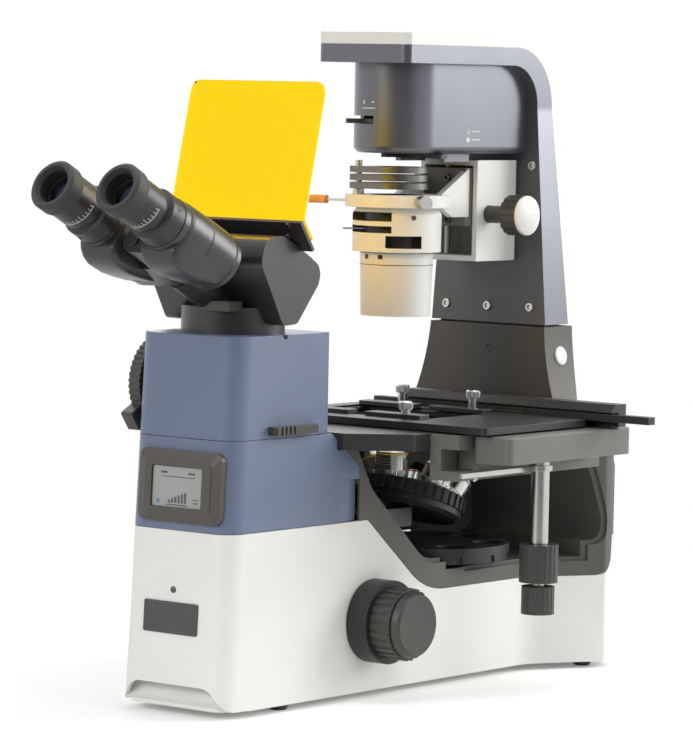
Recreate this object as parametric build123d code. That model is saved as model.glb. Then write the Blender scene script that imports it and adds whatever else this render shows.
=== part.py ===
from build123d import *
import os
from math import cos, pi, radians, sin, sqrt, tan

# Inverted microscope, millimetres. The optical axis is X = Y = 0, the desk is Z = 0,
# the user sits at -Y and the focus knob with the tension ring is on the user's right, +X.

# Clearances
seat_gap = 0.3
run_gap = 0.05
slide_gap = 0.3

# Outer form shared by casing, tower and block: raked front, narrow waist, two rear wings
body_half_width = 48.7
body_front = -246.6
body_rear = 190.0
body_corner = 15.6
body_taper = 0.58
front_rake = 2.85
wing_half = 82.0
wing_start_y = 105.5
wing_end_y = 160.5
wing_start_radius = 40.0
wing_end_radius = 5.0
wing_rear_radius = 28.0
casing_wall = 3.0
casing_bottom = 4.5
seam_z = 127.7
tower_top = 191.8
block_top = 263.4
seam_gap = 0.4
tower_rear = -98.0
tower_knee_z = 166.0
block_rear = -129.5
facet_depth = 4.0
facet_length = 22.0
facet_over = 9.0
trim_over = 20.0

# White casing side line and valley
casing_diagonal_y = -88.0
casing_diagonal_radius = 4.0
casing_valley_y = -19.5
casing_valley_z = 70.8
casing_valley_radius = 62.0
casing_tail_y = 168.0
casing_tail_z = 70.3
casing_tail_radius = 17.0
casing_tail_top = 100.0
casing_tail_lean = 4.0
foot_radius = 7.0
foot_height = 5.0
foot_edge = 1.5
foot_front_x = 37.5
foot_front_y = -173.0
foot_rear_x = 62.0
foot_rear_y = 160.0
base_plate_thickness = 3.0
ledge_width = 5.0
arch_top = 21.0
arch_half_top = 34.0
arch_half_foot = 47.5
arch_top_radius = 12.0
arch_foot_radius = 9.0
arch_depth = 26.0

# Dark valley liner
liner_wall = 4.0
liner_shoulder_z = 158.0
liner_shoulder_radius = 8.0
liner_shoulder_step = 2.0
liner_top_rear = 176.0
rim_bevel = 3.0
valley_neck_y = -97.0
valley_bend_y = -80.0
valley_bend_z = 149.5
valley_bend_radius = 30.0
valley_toe_y = -17.8
valley_toe_radius = 26.0
lip_high_z = 93.3
lip_low_z = 84.4
lip_rear_z = 96.4
lip_step_y = 31.0
lip_rear_y = 145.5
valley_corner_y = 158.5
valley_corner_radius = 9.0
valley_back_y = 160.0
valley_back_z = 113.0
valley_back_radius = 14.0
valley_brow_y = 152.6
valley_brow_z = 144.0
valley_brow_radius = 40.0
valley_top_y = 144.5
roof_z = 170.0
roof_front = 98.0
roof_radius = 6.0
arm_slot_room = 3.0
filter_room = 1.5
filter_collar = 6.0

# Display bezel on the tower front
bezel_width = 75.0
bezel_height = 50.0
bezel_depth = 5.4
bezel_corner = 6.0
bezel_step = 3.0
bezel_rim = 2.4
bezel_raise = 0.8
bezel_margin = 7.6
bezel_x = 2.5
bezel_z = 158.5
screen_width = 46.0
screen_height = 29.0
screen_corner = 1.5
screen_x = -1.0
screen_y = -0.6
screen_recess = 2.0

# Rear panel and inlet
panel_wall = 2.5
panel_bottom = 20.0
panel_top = 158.0
panel_rear = 199.0
panel_half = 62.5
panel_corner = 9.0
panel_edge = 2.0
rear_opening_half = 42.0
rear_opening_low = 30.0
inlet_width = 27.0
inlet_height = 20.0
inlet_depth = 18.0
inlet_z = 45.0
inlet_x = -25.0
inlet_wall = 2.0
inlet_floor = 3.0
inlet_pin_width = 2.0
inlet_pin_height = 4.0
inlet_pins = ((-7.0, -1.5), (0.0, 2.5), (7.0, -1.5))

# Fixed stage and its Y guide
stage_top = 192.0
stage_thickness = 12.0
stage_half_width = 90.0
stage_front = -123.5
stage_nose_half = 52.0
stage_chamfer_y = -90.0
stage_rear = 107.0
stage_opening = 110.0
guide_width = 25.0
guide_wall = 9.5
guide_front = -72.0
guide_rear = 104.0
guide_bottom = 159.0
guide_mouth_low = 166.0
guide_mouth_high = 181.5

# Stage carriage, rail and coaxial drive
carriage_left = 116.5
carriage_right = 150.0
carriage_front = -58.0
carriage_rear = 92.0
carriage_thickness = 19.5
carriage_corner = 5.0
carriage_drop = 0.5
tongue_left = 100.5
rail_front = 60.0
rail_rear = 78.0
rail_left = -40.0
rail_height = 16.5
rail_chamfer = 5.0
rack_width = 8.0
rack_height = 5.5
rack_rise = 4.0
rack_left = -66.0
rack_right = 186.0
drive_x = 127.0
drive_y = 11.0
drive_radius = 6.5
drive_collar_radius = 8.5
drive_bottom = 110.0
drive_pin_radius = 2.5
y_knob_radius = 14.0
y_knob_height = 27.5
x_knob_radius = 12.0
x_knob_height = 20.0
knob_ribs = 20

# Specimen holder on the rail
holder_left = -72.0
holder_right = 134.0
holder_front = -66.0
holder_thickness = 5.0
holder_lift = 0.8
holder_window_width = 104.0
holder_window_depth = 74.0
holder_corner = 4.0
jaw_length = 50.0
jaw_width = 14.0
jaw_thickness = 3.0
screw_head_radius = 5.0
tall_screw_height = 13.2
short_screw_height = 9.5
jaw_screws = ((-45.0, 45.0), (-25.0, 41.0))

# Nosepiece, objectives and focus
nose_tilt = 20.0
objective_circle = 25.2
objective_seat_z = 146.0
objective_count = 5
objective_radius = 12.0
nose_radius = 42.0
nose_rim_top = 1.5
nose_rim_bottom = -8.5
nose_hub_radius = 8.0
nose_room = 3.0
nose_dish_radius = 40.0
nose_dish_bottom = -16.0
nose_ribs = 36
light_bore = 9.0
arm_half_width = 16.0
arm_bottom = 114.0
arm_top = 128.0
focus_post_half = 16.0
focus_post_front = -96.0
focus_post_rear = -86.0
focus_post_top = 146.0
slide_block_rear = -76.0
slide_block_bottom = 98.0
slide_block_top = 130.0
lift_up = 6.5
lift_down = 3.0
focus_y = -82.0
focus_z = 55.3
focus_block_half = 14.0
focus_shaft_radius = 6.0
fine_shaft_radius = 3.0
tension_radius = 30.0
tension_end = 66.0
coarse_radius = 26.0
coarse_end = 83.0
fine_radius = 24.0
fine_cone = 3.0
fine_end = 90.0
coarse_ribs = 26

# Filter turret in the valley floor
filter_axis_y = 45.0
filter_radius = 61.0
filter_bottom = 87.5
filter_split_z = 93.0
filter_top = 99.0
filter_notches = 12
filter_pin_radius = 8.0
filter_port_radius = 11.0
filter_ports = 6
mirror_half = 17.0

# Column, arm and lamp
column_front = 114.4
column_foot_z = 260.0
column_foot_half = 53.5
column_neck_drop = 54.5
column_neck_radius = 60.0
column_corner = 10.0
arm_half = 42.0
arm_front = -45.0
arm_corner = 8.0
arm_shoulder_y = 60.0
arm_height = 21.9
cover_height = 8.5
arm_top_z = 475.5
cover_rear_thickness = 6.0
column_rear_foot = 150.0
column_rear_top = 135.0
arm_outer_radius = 50.0
arm_inner_radius = 30.0
pedestal_top = 258.5
pedestal_half_top = 53.5
pedestal_half_foot = 76.0
pedestal_front_foot = 109.5
pedestal_rear_foot = 152.0
pedestal_corner = 38.0
pedestal_waist_half = 58.0
pedestal_waist_z = 228.0
spigot_inset = 5.0
lamp_radius = 33.0
lamp_bottom = 388.0
lamp_wall = 3.0
lamp_port_radius = 20.0
lamp_edge = 5.0
field_slot_z = 412.0
field_slot_height = 6.0
field_ring_outer = 26.0
field_ring_inner = 20.0

# Condenser slide, carrier and condenser
box_half = 26.5
box_front = 62.0
box_bottom = 308.0
box_top = 383.0
box_wall = 4.0
guide_rod_radius = 3.0
guide_rod_x = 16.0
guide_rod_y = 82.0
slide_plate_front = 54.0
slide_plate_bottom = 334.0
slide_plate_half = 22.0
carrier_ring_radius = 38.6
carrier_low = 348.6
carrier_high = 357.5
carrier_foot_z = 341.0
carrier_cheek = 5.0
condenser_radius = 32.7
condenser_bottom = 316.0
condenser_neck = 24.0
barrel_top_radius = 27.0
barrel_low_radius = 25.7
barrel_bottom = 269.0
barrel_bore = 21.0
slot_upper_low = 338.5
slot_upper_high = 344.5
slot_lower_low = 330.0
slot_lower_high = 335.0
lever_shoe = 5.0
lever_stick = 16.0
lever_rest = -38.0
disc_radius = 22.0
disc_height = 4.6
disc_pitch = 5.9
disc_bottom = 361.6
disc_pin_radius = 2.6
disc_pin_x = -25.0
disc_pin_y = -15.0
disc_glass_radius = 16.0
condenser_knob_y = 77.0
condenser_knob_z = 343.0
condenser_knob_radius = 15.0
condenser_knob_end = 65.0
condenser_knob_length = 18.0
condenser_stem_radius = 6.5
clamp_angle = -27.0
clamp_depth = 6.0
clamp_stem = 2.5
clamp_head = 5.0
clamp_grip = 9.0

# Binocular head
head_y = -182.0
head_z = 302.0
head_right = 49.5
head_left = 58.0
head_ring_x = -2.0
head_ring_radius = 36.5
head_ring_top = 282.0
tube_tilt = 27.0
tube_rear_y = -229.0
tube_rear_z = 310.0
eye_distance = 59.0
tube_swing_radius = 31.2
tube_radius = 20.0
tube_back = 9.0
tube_round = 7.0
tube_length = 72.0
tube_neck = 42.0
tube_collar = 7.0
box_end = 46.0
box_share = 0.66
box_radius = 8.0
hub_radius = 9.0
hub_start = 9.0
hub_length = 27.0
hinge_pin_radius = 5.0
hinge_boss_radius = 10.5
hinge_boss_depth = 36.0
eyepiece_end = 113.0
eyepiece_radius = 16.5
eyepiece_spigot = 14.0
eyecup_end = 126.0
eyecup_radius = 18.2
eye_lens_radius = 11.0

# Amber shield
shield_width = 122.0
shield_x = -2.0
shield_thickness = 3.0
shield_foot_y = -182.0
shield_foot_z = 343.0
shield_top_y = -159.7
shield_top_z = 439.0
shield_corner = 8.0
shield_flange_share = 0.7
bracket_low_y = -168.0
bracket_low_z = 323.0
bracket_thickness = 2.5

# Side controls of the upper block
wheel_radius = 34.0
wheel_thickness = 10.0
wheel_gap = 4.5
wheel_y = -191.0
wheel_z = 225.5
wheel_ribs = 48
lever_front = -200.0
lever_length = 48.5
lever_z = 197.5
lever_height = 6.0
lever_reach = 7.0
lever_travel = 8.0

# Shutter slide under the lamp
shutter_thickness = 3.2
shutter_half = 20.0
shutter_front = 5.0
shutter_rear = 60.0
shutter_ear = 7.0
shutter_port = 16.0
shutter_rail = 2.4
shutter_rail_front = 26.0
shutter_rail_rear = 56.0

# Values that follow from the ones above
body_height = block_top - casing_bottom
floor_z = foot_height + base_plate_thickness
valley_left = nose_radius + nose_room
arm_low_z = arm_top_z - arm_height
arm_seam_z = arm_top_z - cover_height
column_neck_z = arm_top_z - column_neck_drop
stage_bottom = stage_top - stage_thickness
carriage_top = stage_top - carriage_drop
carriage_bottom = carriage_top - carriage_thickness
guide_left = stage_half_width
guide_right = guide_left + guide_width
holder_bottom = stage_top + holder_lift
rail_bottom = holder_bottom
rail_top = rail_bottom + rail_height
rack_bottom = rail_bottom + rack_rise
nose_reach = objective_circle / tan(radians(nose_tilt))
nose_apex_z = objective_seat_z - nose_reach / cos(radians(nose_tilt))
nose_centre = (0, nose_reach * sin(radians(nose_tilt)),
               nose_apex_z + nose_reach * cos(radians(nose_tilt)))
nose_plane = Plane(origin=nose_centre, x_dir=(1, 0, 0),
                   z_dir=(0, sin(radians(nose_tilt)), cos(radians(nose_tilt))))
tube_axis = (0, -cos(radians(tube_tilt)), sin(radians(tube_tilt)))
tube_drop = sqrt(tube_swing_radius ** 2 - (eye_distance / 2) ** 2)
hinge_origin = (0, tube_rear_y - tube_drop * sin(radians(tube_tilt)),
                tube_rear_z - tube_drop * cos(radians(tube_tilt)))
hinge_plane = Plane(origin=hinge_origin, x_dir=(1, 0, 0), z_dir=tube_axis)
slope_high = (head_y - 8, head_z + 31)
slope_low = (head_y + 34, head_z + 8)

parts = {}


def half_width_at(z):
    return body_half_width - (z - casing_bottom) * tan(radians(body_taper))


def front_at(z):
    return body_front + (z - casing_bottom) * tan(radians(front_rake))


def polygon(points):
    # A flat face whose corners run anticlockwise, so that it always grows the same way.
    turns = zip(points, [*points[1:], points[0]])
    area = sum(start[0] * end[1] - end[0] * start[1] for start, end in turns)
    ordered = points if area > 0 else points[::-1]
    return Polygon(*ordered, align=None)


def outline(*corners):
    # A polygon whose corners may carry a fillet radius as third value.
    face = polygon([(corner[0], corner[1]) for corner in corners])
    for corner in corners:
        if len(corner) == 3:
            vertex = face.vertices().sort_by_distance((corner[0], corner[1], 0))[0]
            face = fillet(vertex, corner[2])
    return face


def prism_x(face, low, high):
    return extrude(Plane.YZ.offset(low) * face, amount=high - low)


def prism_y(face, low, high):
    return extrude(Plane.XZ.offset(-low) * face, amount=low - high)


def prism_z(face, low, high):
    return extrude(Pos(0, 0, low) * face, amount=high - low)


def block(x0, x1, y0, y1, z0, z1):
    return Pos((x0 + x1) / 2, (y0 + y1) / 2, (z0 + z1) / 2) * Box(x1 - x0, y1 - y0, z1 - z0)


def rod_x(radius, low, high, y, z):
    return Pos((low + high) / 2, y, z) * (Rot(0, 90, 0) * Cylinder(radius, high - low))


def rod_z(radius, low, high, x=0, y=0):
    return Pos(x, y, (low + high) / 2) * Cylinder(radius, high - low)


def turned(profile):
    # Revolves (radius, height) points about the local Z axis.
    return revolve(Plane.XZ * polygon(list(profile)), axis=Axis.Z)


def ribbed_disc(radius, count, depth, share=0.5):
    # A disc whose rim carries shallow grip grooves.
    groove = 2 * pi * radius / count * share
    face = Circle(radius)
    for place in PolarLocations(radius, count):
        face -= place * Rectangle(2 * depth, groove)
    return face


def body_form(inset=0.0):
    half = body_half_width - inset
    wing = wing_half - inset
    front = body_front - trim_over
    rear = body_rear - inset
    plan = outline((-half, front), (half, front), (half, wing_start_y, wing_start_radius),
                   (wing, wing_end_y, wing_end_radius), (wing, rear, wing_rear_radius - inset),
                   (-wing, rear, wing_rear_radius - inset), (-wing, wing_end_y, wing_end_radius),
                   (-half, wing_start_y, wing_start_radius))
    form = extrude(Pos(0, 0, casing_bottom) * plan, amount=body_height, taper=body_taper)
    low = casing_bottom - 1
    high = block_top + 1
    form &= prism_x(polygon([(front_at(low) + inset, low), (rear + 1, low), (rear + 1, high),
                             (front_at(high) + inset, high)]), -wing - 1, wing + 1)
    edges = form.edges().filter_by(lambda edge: edge.length > body_height / 2)
    return fillet(edges.sort_by(Axis.Y)[:2], body_corner - inset)


def casing_side():
    front = body_front - trim_over
    rear = body_rear + trim_over
    return outline((front, casing_bottom - 1), (rear, casing_bottom - 1), (rear, casing_tail_top),
                   (casing_tail_y + casing_tail_lean, casing_tail_top),
                   (casing_tail_y, casing_tail_z, casing_tail_radius),
                   (casing_valley_y, casing_valley_z, casing_valley_radius),
                   (casing_diagonal_y, seam_z, casing_diagonal_radius), (front, seam_z))


def arch_face():
    # The lifted lower edge of the front face, running down to a foot at each corner.
    over = body_half_width + trim_over
    low = casing_bottom - trim_over
    return outline((-over, low), (over, low), (over, casing_bottom),
                   (arch_half_foot, casing_bottom, arch_foot_radius),
                   (arch_half_top, arch_top, arch_top_radius),
                   (-arch_half_top, arch_top, arch_top_radius),
                   (-arch_half_foot, casing_bottom, arch_foot_radius), (-over, casing_bottom))


def make_base():
    reach = wing_half + trim_over
    shell = body_form() & prism_x(casing_side(), -reach, reach)
    shell -= body_form(casing_wall)
    shell -= prism_y(arch_face(), body_front - trim_over, body_front + arch_depth)
    shell -= rod_x(focus_shaft_radius + 2, -reach, reach, focus_y, focus_z)
    shell -= block(-rear_opening_half, rear_opening_half, body_rear - trim_over, body_rear + trim_over,
                   rear_opening_low, casing_tail_top + 1)
    ledge = body_form(casing_wall) - body_form(casing_wall + ledge_width)
    shell += ledge & block(-reach, reach, body_front + arch_depth, body_rear, floor_z, floor_z + casing_wall)
    parts["base_casing"] = shell

    level = block(-reach, reach, body_front, body_rear, foot_height, floor_z)
    parts["base_plate"] = body_form(casing_wall + seat_gap + 1) & level

    feet = []
    for x, y in ((foot_front_x, foot_front_y), (foot_rear_x, foot_rear_y)):
        for side_sign in (-1, 1):
            profile = ((0, 0), (foot_radius - foot_edge, 0), (foot_radius, foot_edge),
                       (foot_radius, foot_height), (0, foot_height))
            feet.append(Pos(side_sign * x, y, 0) * turned(profile))
    parts["rubber_feet"] = feet


def tower_side(inset=0.0, over=0.0):
    rear = tower_rear - inset
    slope = (block_rear - tower_rear) / (tower_top - tower_knee_z)
    return outline((body_front - trim_over, seam_z + seam_gap - over), (rear, seam_z + seam_gap - over),
                   (rear, tower_knee_z), (rear + slope * (tower_top + over - tower_knee_z),
                                          tower_top + over),
                   (body_front - trim_over, tower_top + over))


def rear_facet(rear, z0, z1):
    # The shallow bevel along the rear vertical edge of tower and block.
    cuts = Part()
    for side_sign in (-1, 1):
        half = half_width_at((z0 + z1) / 2)
        far = half + facet_over
        near = half - facet_depth * (1 + facet_over / facet_length)
        face = polygon([(side_sign * half, rear - facet_length), (side_sign * far, rear - facet_length),
                        (side_sign * far, rear + facet_over), (side_sign * near, rear + facet_over)])
        cuts += prism_z(face, z0, z1)
    return cuts


def make_tower():
    shell = body_form() & prism_x(tower_side(), -body_half_width, body_half_width)
    shell -= rear_facet(tower_rear, seam_z - 1, tower_knee_z - 8)
    shell -= body_form(casing_wall + facet_depth) & prism_x(
        tower_side(casing_wall, 5), -body_half_width, body_half_width)
    shell -= block(-stage_nose_half, stage_nose_half, stage_front - seat_gap, tower_rear,
                   stage_bottom - seat_gap, tower_top + 1)
    parts["front_tower"] = shell

    z0 = tower_top + seam_gap
    cover = body_form() & block(-wing_half, wing_half, body_front, block_rear, z0, block_top)
    cover -= rear_facet(block_rear, z0 - 1, block_top + 1)
    cover -= body_form(casing_wall + facet_depth) & block(
        -wing_half, wing_half, body_front, block_rear - casing_wall, z0 - 1, block_top - casing_wall)
    cover -= rod_z(lamp_port_radius, block_top - 10, block_top + 5, 0, head_y)
    half = half_width_at(block_top)
    cover -= Pos(half, head_y, block_top) * (Rot(0, 90, 0) * Cylinder(3.0, 12))
    cover -= rod_x(condenser_stem_radius + run_gap, -half - 12, 0, wheel_y, wheel_z)
    cover -= block(30, body_half_width, lever_front + 12 - lever_travel,
                   lever_front + lever_length - 4 + lever_travel,
                   lever_z - lever_height / 2 + 1 - slide_gap, lever_z + lever_height / 2 - 1 + slide_gap)
    parts["upper_block"] = cover


def make_display():
    tilt = Plane(origin=(bezel_x, front_at(bezel_z), bezel_z), x_dir=(1, 0, 0),
                 z_dir=(0, -cos(radians(front_rake)), sin(radians(front_rake))))
    outer = RectangleRounded(bezel_width, bezel_height, bezel_corner)
    inner = RectangleRounded(bezel_width - 2 * bezel_margin, bezel_height - 2 * bezel_margin, bezel_step)
    bezel = extrude(Pos(0, 0, -bezel_depth) * outer, amount=bezel_depth + bezel_rim)
    bezel += loft([Pos(0, 0, bezel_rim) * outer, Pos(0, 0, bezel_depth - bezel_raise) * inner], ruled=True)
    bezel += extrude(Pos(0, 0, bezel_depth - bezel_raise) * inner, amount=bezel_raise)
    bezel -= extrude(Pos(screen_x, screen_y, bezel_depth - screen_recess) * RectangleRounded(
        screen_width, screen_height, screen_corner), amount=screen_recess + 1)
    parts["display_bezel"] = tilt.location * bezel - body_form()


def valley_side(grow=0.0):
    # Outline of the open valley seen from the right, grown by a wall when asked.
    over = stage_bottom + trim_over
    face = outline((valley_neck_y, over), (valley_neck_y, stage_bottom),
                   (valley_bend_y, valley_bend_z, valley_bend_radius),
                   (valley_toe_y, lip_high_z, valley_toe_radius),
                   (lip_step_y, lip_high_z), (lip_step_y, lip_low_z), (lip_rear_y, lip_low_z),
                   (lip_rear_y, lip_rear_z), (valley_corner_y, lip_rear_z, valley_corner_radius),
                   (valley_back_y, valley_back_z, valley_back_radius),
                   (valley_brow_y, valley_brow_z, valley_brow_radius),
                   (valley_top_y, roof_z, roof_radius), (roof_front, roof_z), (roof_front, over))
    if grow:
        face = offset(face, grow, kind=Kind.INTERSECTION)
    return face


def liner_side():
    front = tower_rear + seam_gap
    slope = (block_rear - tower_rear) / (tower_top - tower_knee_z)
    top_front = front + slope * (stage_bottom - tower_knee_z)
    return outline((front, seam_z + seam_gap),
                   (casing_diagonal_y + seam_gap, seam_z + seam_gap, casing_diagonal_radius),
                   (casing_valley_y + seam_gap, casing_valley_z + seam_gap, casing_valley_radius),
                   (casing_tail_y - seam_gap, casing_tail_z + seam_gap, casing_tail_radius),
                   (casing_tail_y + casing_tail_lean - seam_gap, casing_tail_top + seam_gap),
                   (body_rear, casing_tail_top + seam_gap),
                   (body_rear, liner_shoulder_z, liner_shoulder_radius),
                   (liner_top_rear, liner_shoulder_z + liner_shoulder_step, 4),
                   (liner_top_rear, stage_bottom),
                   (top_front, stage_bottom), (front, tower_knee_z))


def make_liner():
    reach = wing_half + trim_over
    form = body_form() & prism_x(liner_side(), -reach, reach)
    liner = form - prism_x(valley_side(), -valley_left, reach)
    liner -= body_form(-1) - body_form(rim_bevel) & prism_x(valley_side(rim_bevel), 0, reach)
    skin = half_width_at(stage_bottom) - valley_left
    core = body_form(skin) & block(-reach, reach, casing_diagonal_y - trim_over, body_rear, floor_z,
                                   liner_shoulder_z - liner_wall)
    liner -= core - prism_x(valley_side(liner_wall), -valley_left - casing_wall, reach)
    liner -= rod_z(filter_radius + filter_room, lip_low_z, filter_top + liner_wall, 0, filter_axis_y)
    liner -= rod_z(filter_port_radius, floor_z, lip_low_z + 1)
    slot_half = arm_half_width + arm_slot_room
    liner -= block(-slot_half, slot_half, valley_bend_y - trim_over, valley_toe_y,
                   arm_bottom - lift_down - arm_slot_room, arm_top + lift_up + arm_slot_room)
    liner += rod_z(filter_pin_radius - run_gap, lip_low_z - 1, filter_top - 3, 0, filter_axis_y)
    liner += rod_z(filter_pin_radius + filter_collar, lip_low_z - 1, filter_bottom - seat_gap,
                   0, filter_axis_y)
    parts["valley_liner"] = liner


def make_rear_cover():
    mid = (panel_bottom + panel_top) / 2
    face = Pos(0, mid) * RectangleRounded(2 * panel_half, panel_top - panel_bottom, panel_corner)
    cover = prism_y(face, body_rear - body_corner, panel_rear)
    cover = fillet(cover.faces().sort_by(Axis.Y)[-1].edges(), panel_edge)
    cover -= prism_y(offset(face, -panel_wall), body_rear - body_corner - 1, panel_rear - panel_wall)
    cover -= body_form(-seat_gap)
    half_w = inlet_width / 2
    half_h = inlet_height / 2
    cover -= block(inlet_x - half_w, inlet_x + half_w, panel_rear - 2 * panel_wall, panel_rear + 5,
                   inlet_z - half_h, inlet_z + half_h)
    parts["rear_panel"] = cover

    inlet = block(inlet_x - half_w + seat_gap, inlet_x + half_w - seat_gap, panel_rear - inlet_depth,
                  panel_rear, inlet_z - half_h + seat_gap, inlet_z + half_h - seat_gap)
    inlet -= block(inlet_x - half_w + inlet_wall, inlet_x + half_w - inlet_wall,
                   panel_rear - inlet_depth + inlet_floor, panel_rear + 1,
                   inlet_z - half_h + inlet_wall, inlet_z + half_h - inlet_wall)
    for pin_x, pin_z in inlet_pins:
        inlet += block(inlet_x + pin_x - inlet_pin_width / 2, inlet_x + pin_x + inlet_pin_width / 2,
                       panel_rear - inlet_depth + 1, panel_rear - inlet_wall,
                       inlet_z + pin_z - inlet_pin_height / 2, inlet_z + pin_z + inlet_pin_height / 2)
    parts["power_inlet"] = inlet


def make_stage():
    plan = outline((-stage_nose_half, stage_front), (stage_nose_half, stage_front),
                   (stage_half_width, stage_chamfer_y, 3), (stage_half_width, stage_rear, 6),
                   (-stage_half_width, stage_rear, 6), (-stage_half_width, stage_chamfer_y, 3))
    plate = prism_z(plan, stage_bottom, stage_top)
    plate -= rod_z(stage_opening / 2, stage_bottom - 1, stage_top + 1)
    parts["stage_plate"] = plate

    section = outline((guide_left, guide_bottom), (guide_right - 2, guide_bottom),
                      (guide_right - 2, guide_mouth_low), (guide_left + guide_wall, guide_mouth_low),
                      (guide_left + guide_wall, guide_mouth_high), (guide_right, guide_mouth_high),
                      (guide_right, stage_top - 0.5), (guide_left, stage_top - 0.5))
    parts["stage_guide"] = prism_y(section, guide_front, guide_rear)


def make_carriage():
    plan = Pos((carriage_left + carriage_right) / 2, (carriage_front + carriage_rear) / 2) * RectangleRounded(
        carriage_right - carriage_left, carriage_rear - carriage_front, carriage_corner)
    body = prism_z(plan, carriage_bottom, carriage_top)
    body += block(tongue_left, carriage_left + 1, carriage_front + 6, carriage_rear - 6,
                  guide_mouth_low + slide_gap, guide_mouth_high - slide_gap)
    body = chamfer(body.faces().sort_by(Axis.Z)[-1].edges(), 0.8)
    parts["stage_carriage"] = body

    chamfer_y = rail_front + rail_chamfer
    section = outline((rail_front + rack_width + 1, rail_bottom), (rail_rear, rail_bottom),
                      (rail_rear, rail_top), (chamfer_y, rail_top), (rail_front, rail_top - rail_chamfer),
                      (rail_front, rack_bottom + rack_height + 1),
                      (rail_front + rack_width + 1, rack_bottom + rack_height + 1))
    rail = prism_x(section, rail_left, carriage_right + 4)
    rail += block(carriage_left + 2, carriage_right - 3, rail_front + rack_width + 1, rail_rear,
                  carriage_top, rail_bottom)
    parts["stage_rail"] = rail

    post = rod_z(drive_radius, drive_bottom, carriage_bottom, drive_x, drive_y)
    post += rod_z(drive_collar_radius, carriage_bottom - 9, carriage_bottom - 5, drive_x, drive_y)
    pin_low = drive_bottom - y_knob_height - 3
    post += rod_z(drive_radius - 2, pin_low, drive_bottom, drive_x, drive_y)
    post += rod_z(drive_pin_radius, pin_low - x_knob_height + 3, pin_low, drive_x, drive_y)
    parts["drive_column"] = post
    knob_y_low = drive_bottom - seat_gap - y_knob_height
    grip = prism_z(Pos(drive_x, drive_y) * ribbed_disc(y_knob_radius, knob_ribs, 0.5, 0.3),
                   knob_y_low, drive_bottom - seat_gap)
    parts["y_drive_knob"] = grip - rod_z(
        drive_radius - 2 + run_gap, knob_y_low - 1, drive_bottom + 1, drive_x, drive_y)
    knob_x_top = pin_low - seat_gap
    grip = prism_z(Pos(drive_x, drive_y) * ribbed_disc(x_knob_radius, knob_ribs, 0.5, 0.3),
                   knob_x_top - x_knob_height, knob_x_top)
    grip -= rod_z(drive_pin_radius + run_gap, knob_x_top - x_knob_height + 2, knob_x_top, drive_x, drive_y)
    parts["x_drive_knob"] = grip


def make_holder():
    plan = Pos((holder_left + holder_right) / 2, (holder_front + rail_front - 1) / 2) * RectangleRounded(
        holder_right - holder_left, rail_front - 1 - holder_front, holder_corner)
    plan -= RectangleRounded(holder_window_width, holder_window_depth, holder_corner)
    plate = prism_z(plan, holder_bottom, holder_bottom + holder_thickness)
    rim = offset(RectangleRounded(holder_window_width, holder_window_depth, holder_corner), 5)
    plate -= prism_z(rim, holder_bottom + holder_thickness - 1.5, holder_bottom + holder_thickness + 1)
    parts["specimen_holder"] = plate

    rack = block(rack_left, rack_right, rail_front + 0.5, rail_front + 0.5 + rack_width, rack_bottom,
                 rack_bottom + rack_height)
    rack += block(holder_left + 8, holder_right - 60, rail_front - 1, rail_front + 1, rack_bottom,
                  rack_bottom + 2.5)
    parts["holder_rack"] = rack

    top = holder_bottom + holder_thickness
    jaws = []
    screws = []
    rows = ((-1, short_screw_height, jaw_screws[0]), (1, tall_screw_height, jaw_screws[1]))
    for y_sign, height, places in rows:
        jaw_y = y_sign * (holder_window_depth / 2 + 1)
        for x_sign, screw_x in zip((-1, 1), places):
            x = x_sign * (holder_window_width / 2 - jaw_length / 2 + 6)
            seat = jaw_y + y_sign * 5
            foot = Pos(x, jaw_y) * RectangleRounded(jaw_length, jaw_width, 2)
            jaws.append(prism_z(foot, top, top + jaw_thickness))
            screws.append(Pos(screw_x, seat, top + jaw_thickness) * turned(
                ((0, 0), (3.5, 0), (3.5, height - 6), (screw_head_radius, height - 6),
                 (screw_head_radius, height - 0.6), (screw_head_radius - 0.6, height), (0, height))))
    parts["holder_jaws"] = jaws
    parts["holder_screws"] = screws


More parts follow.
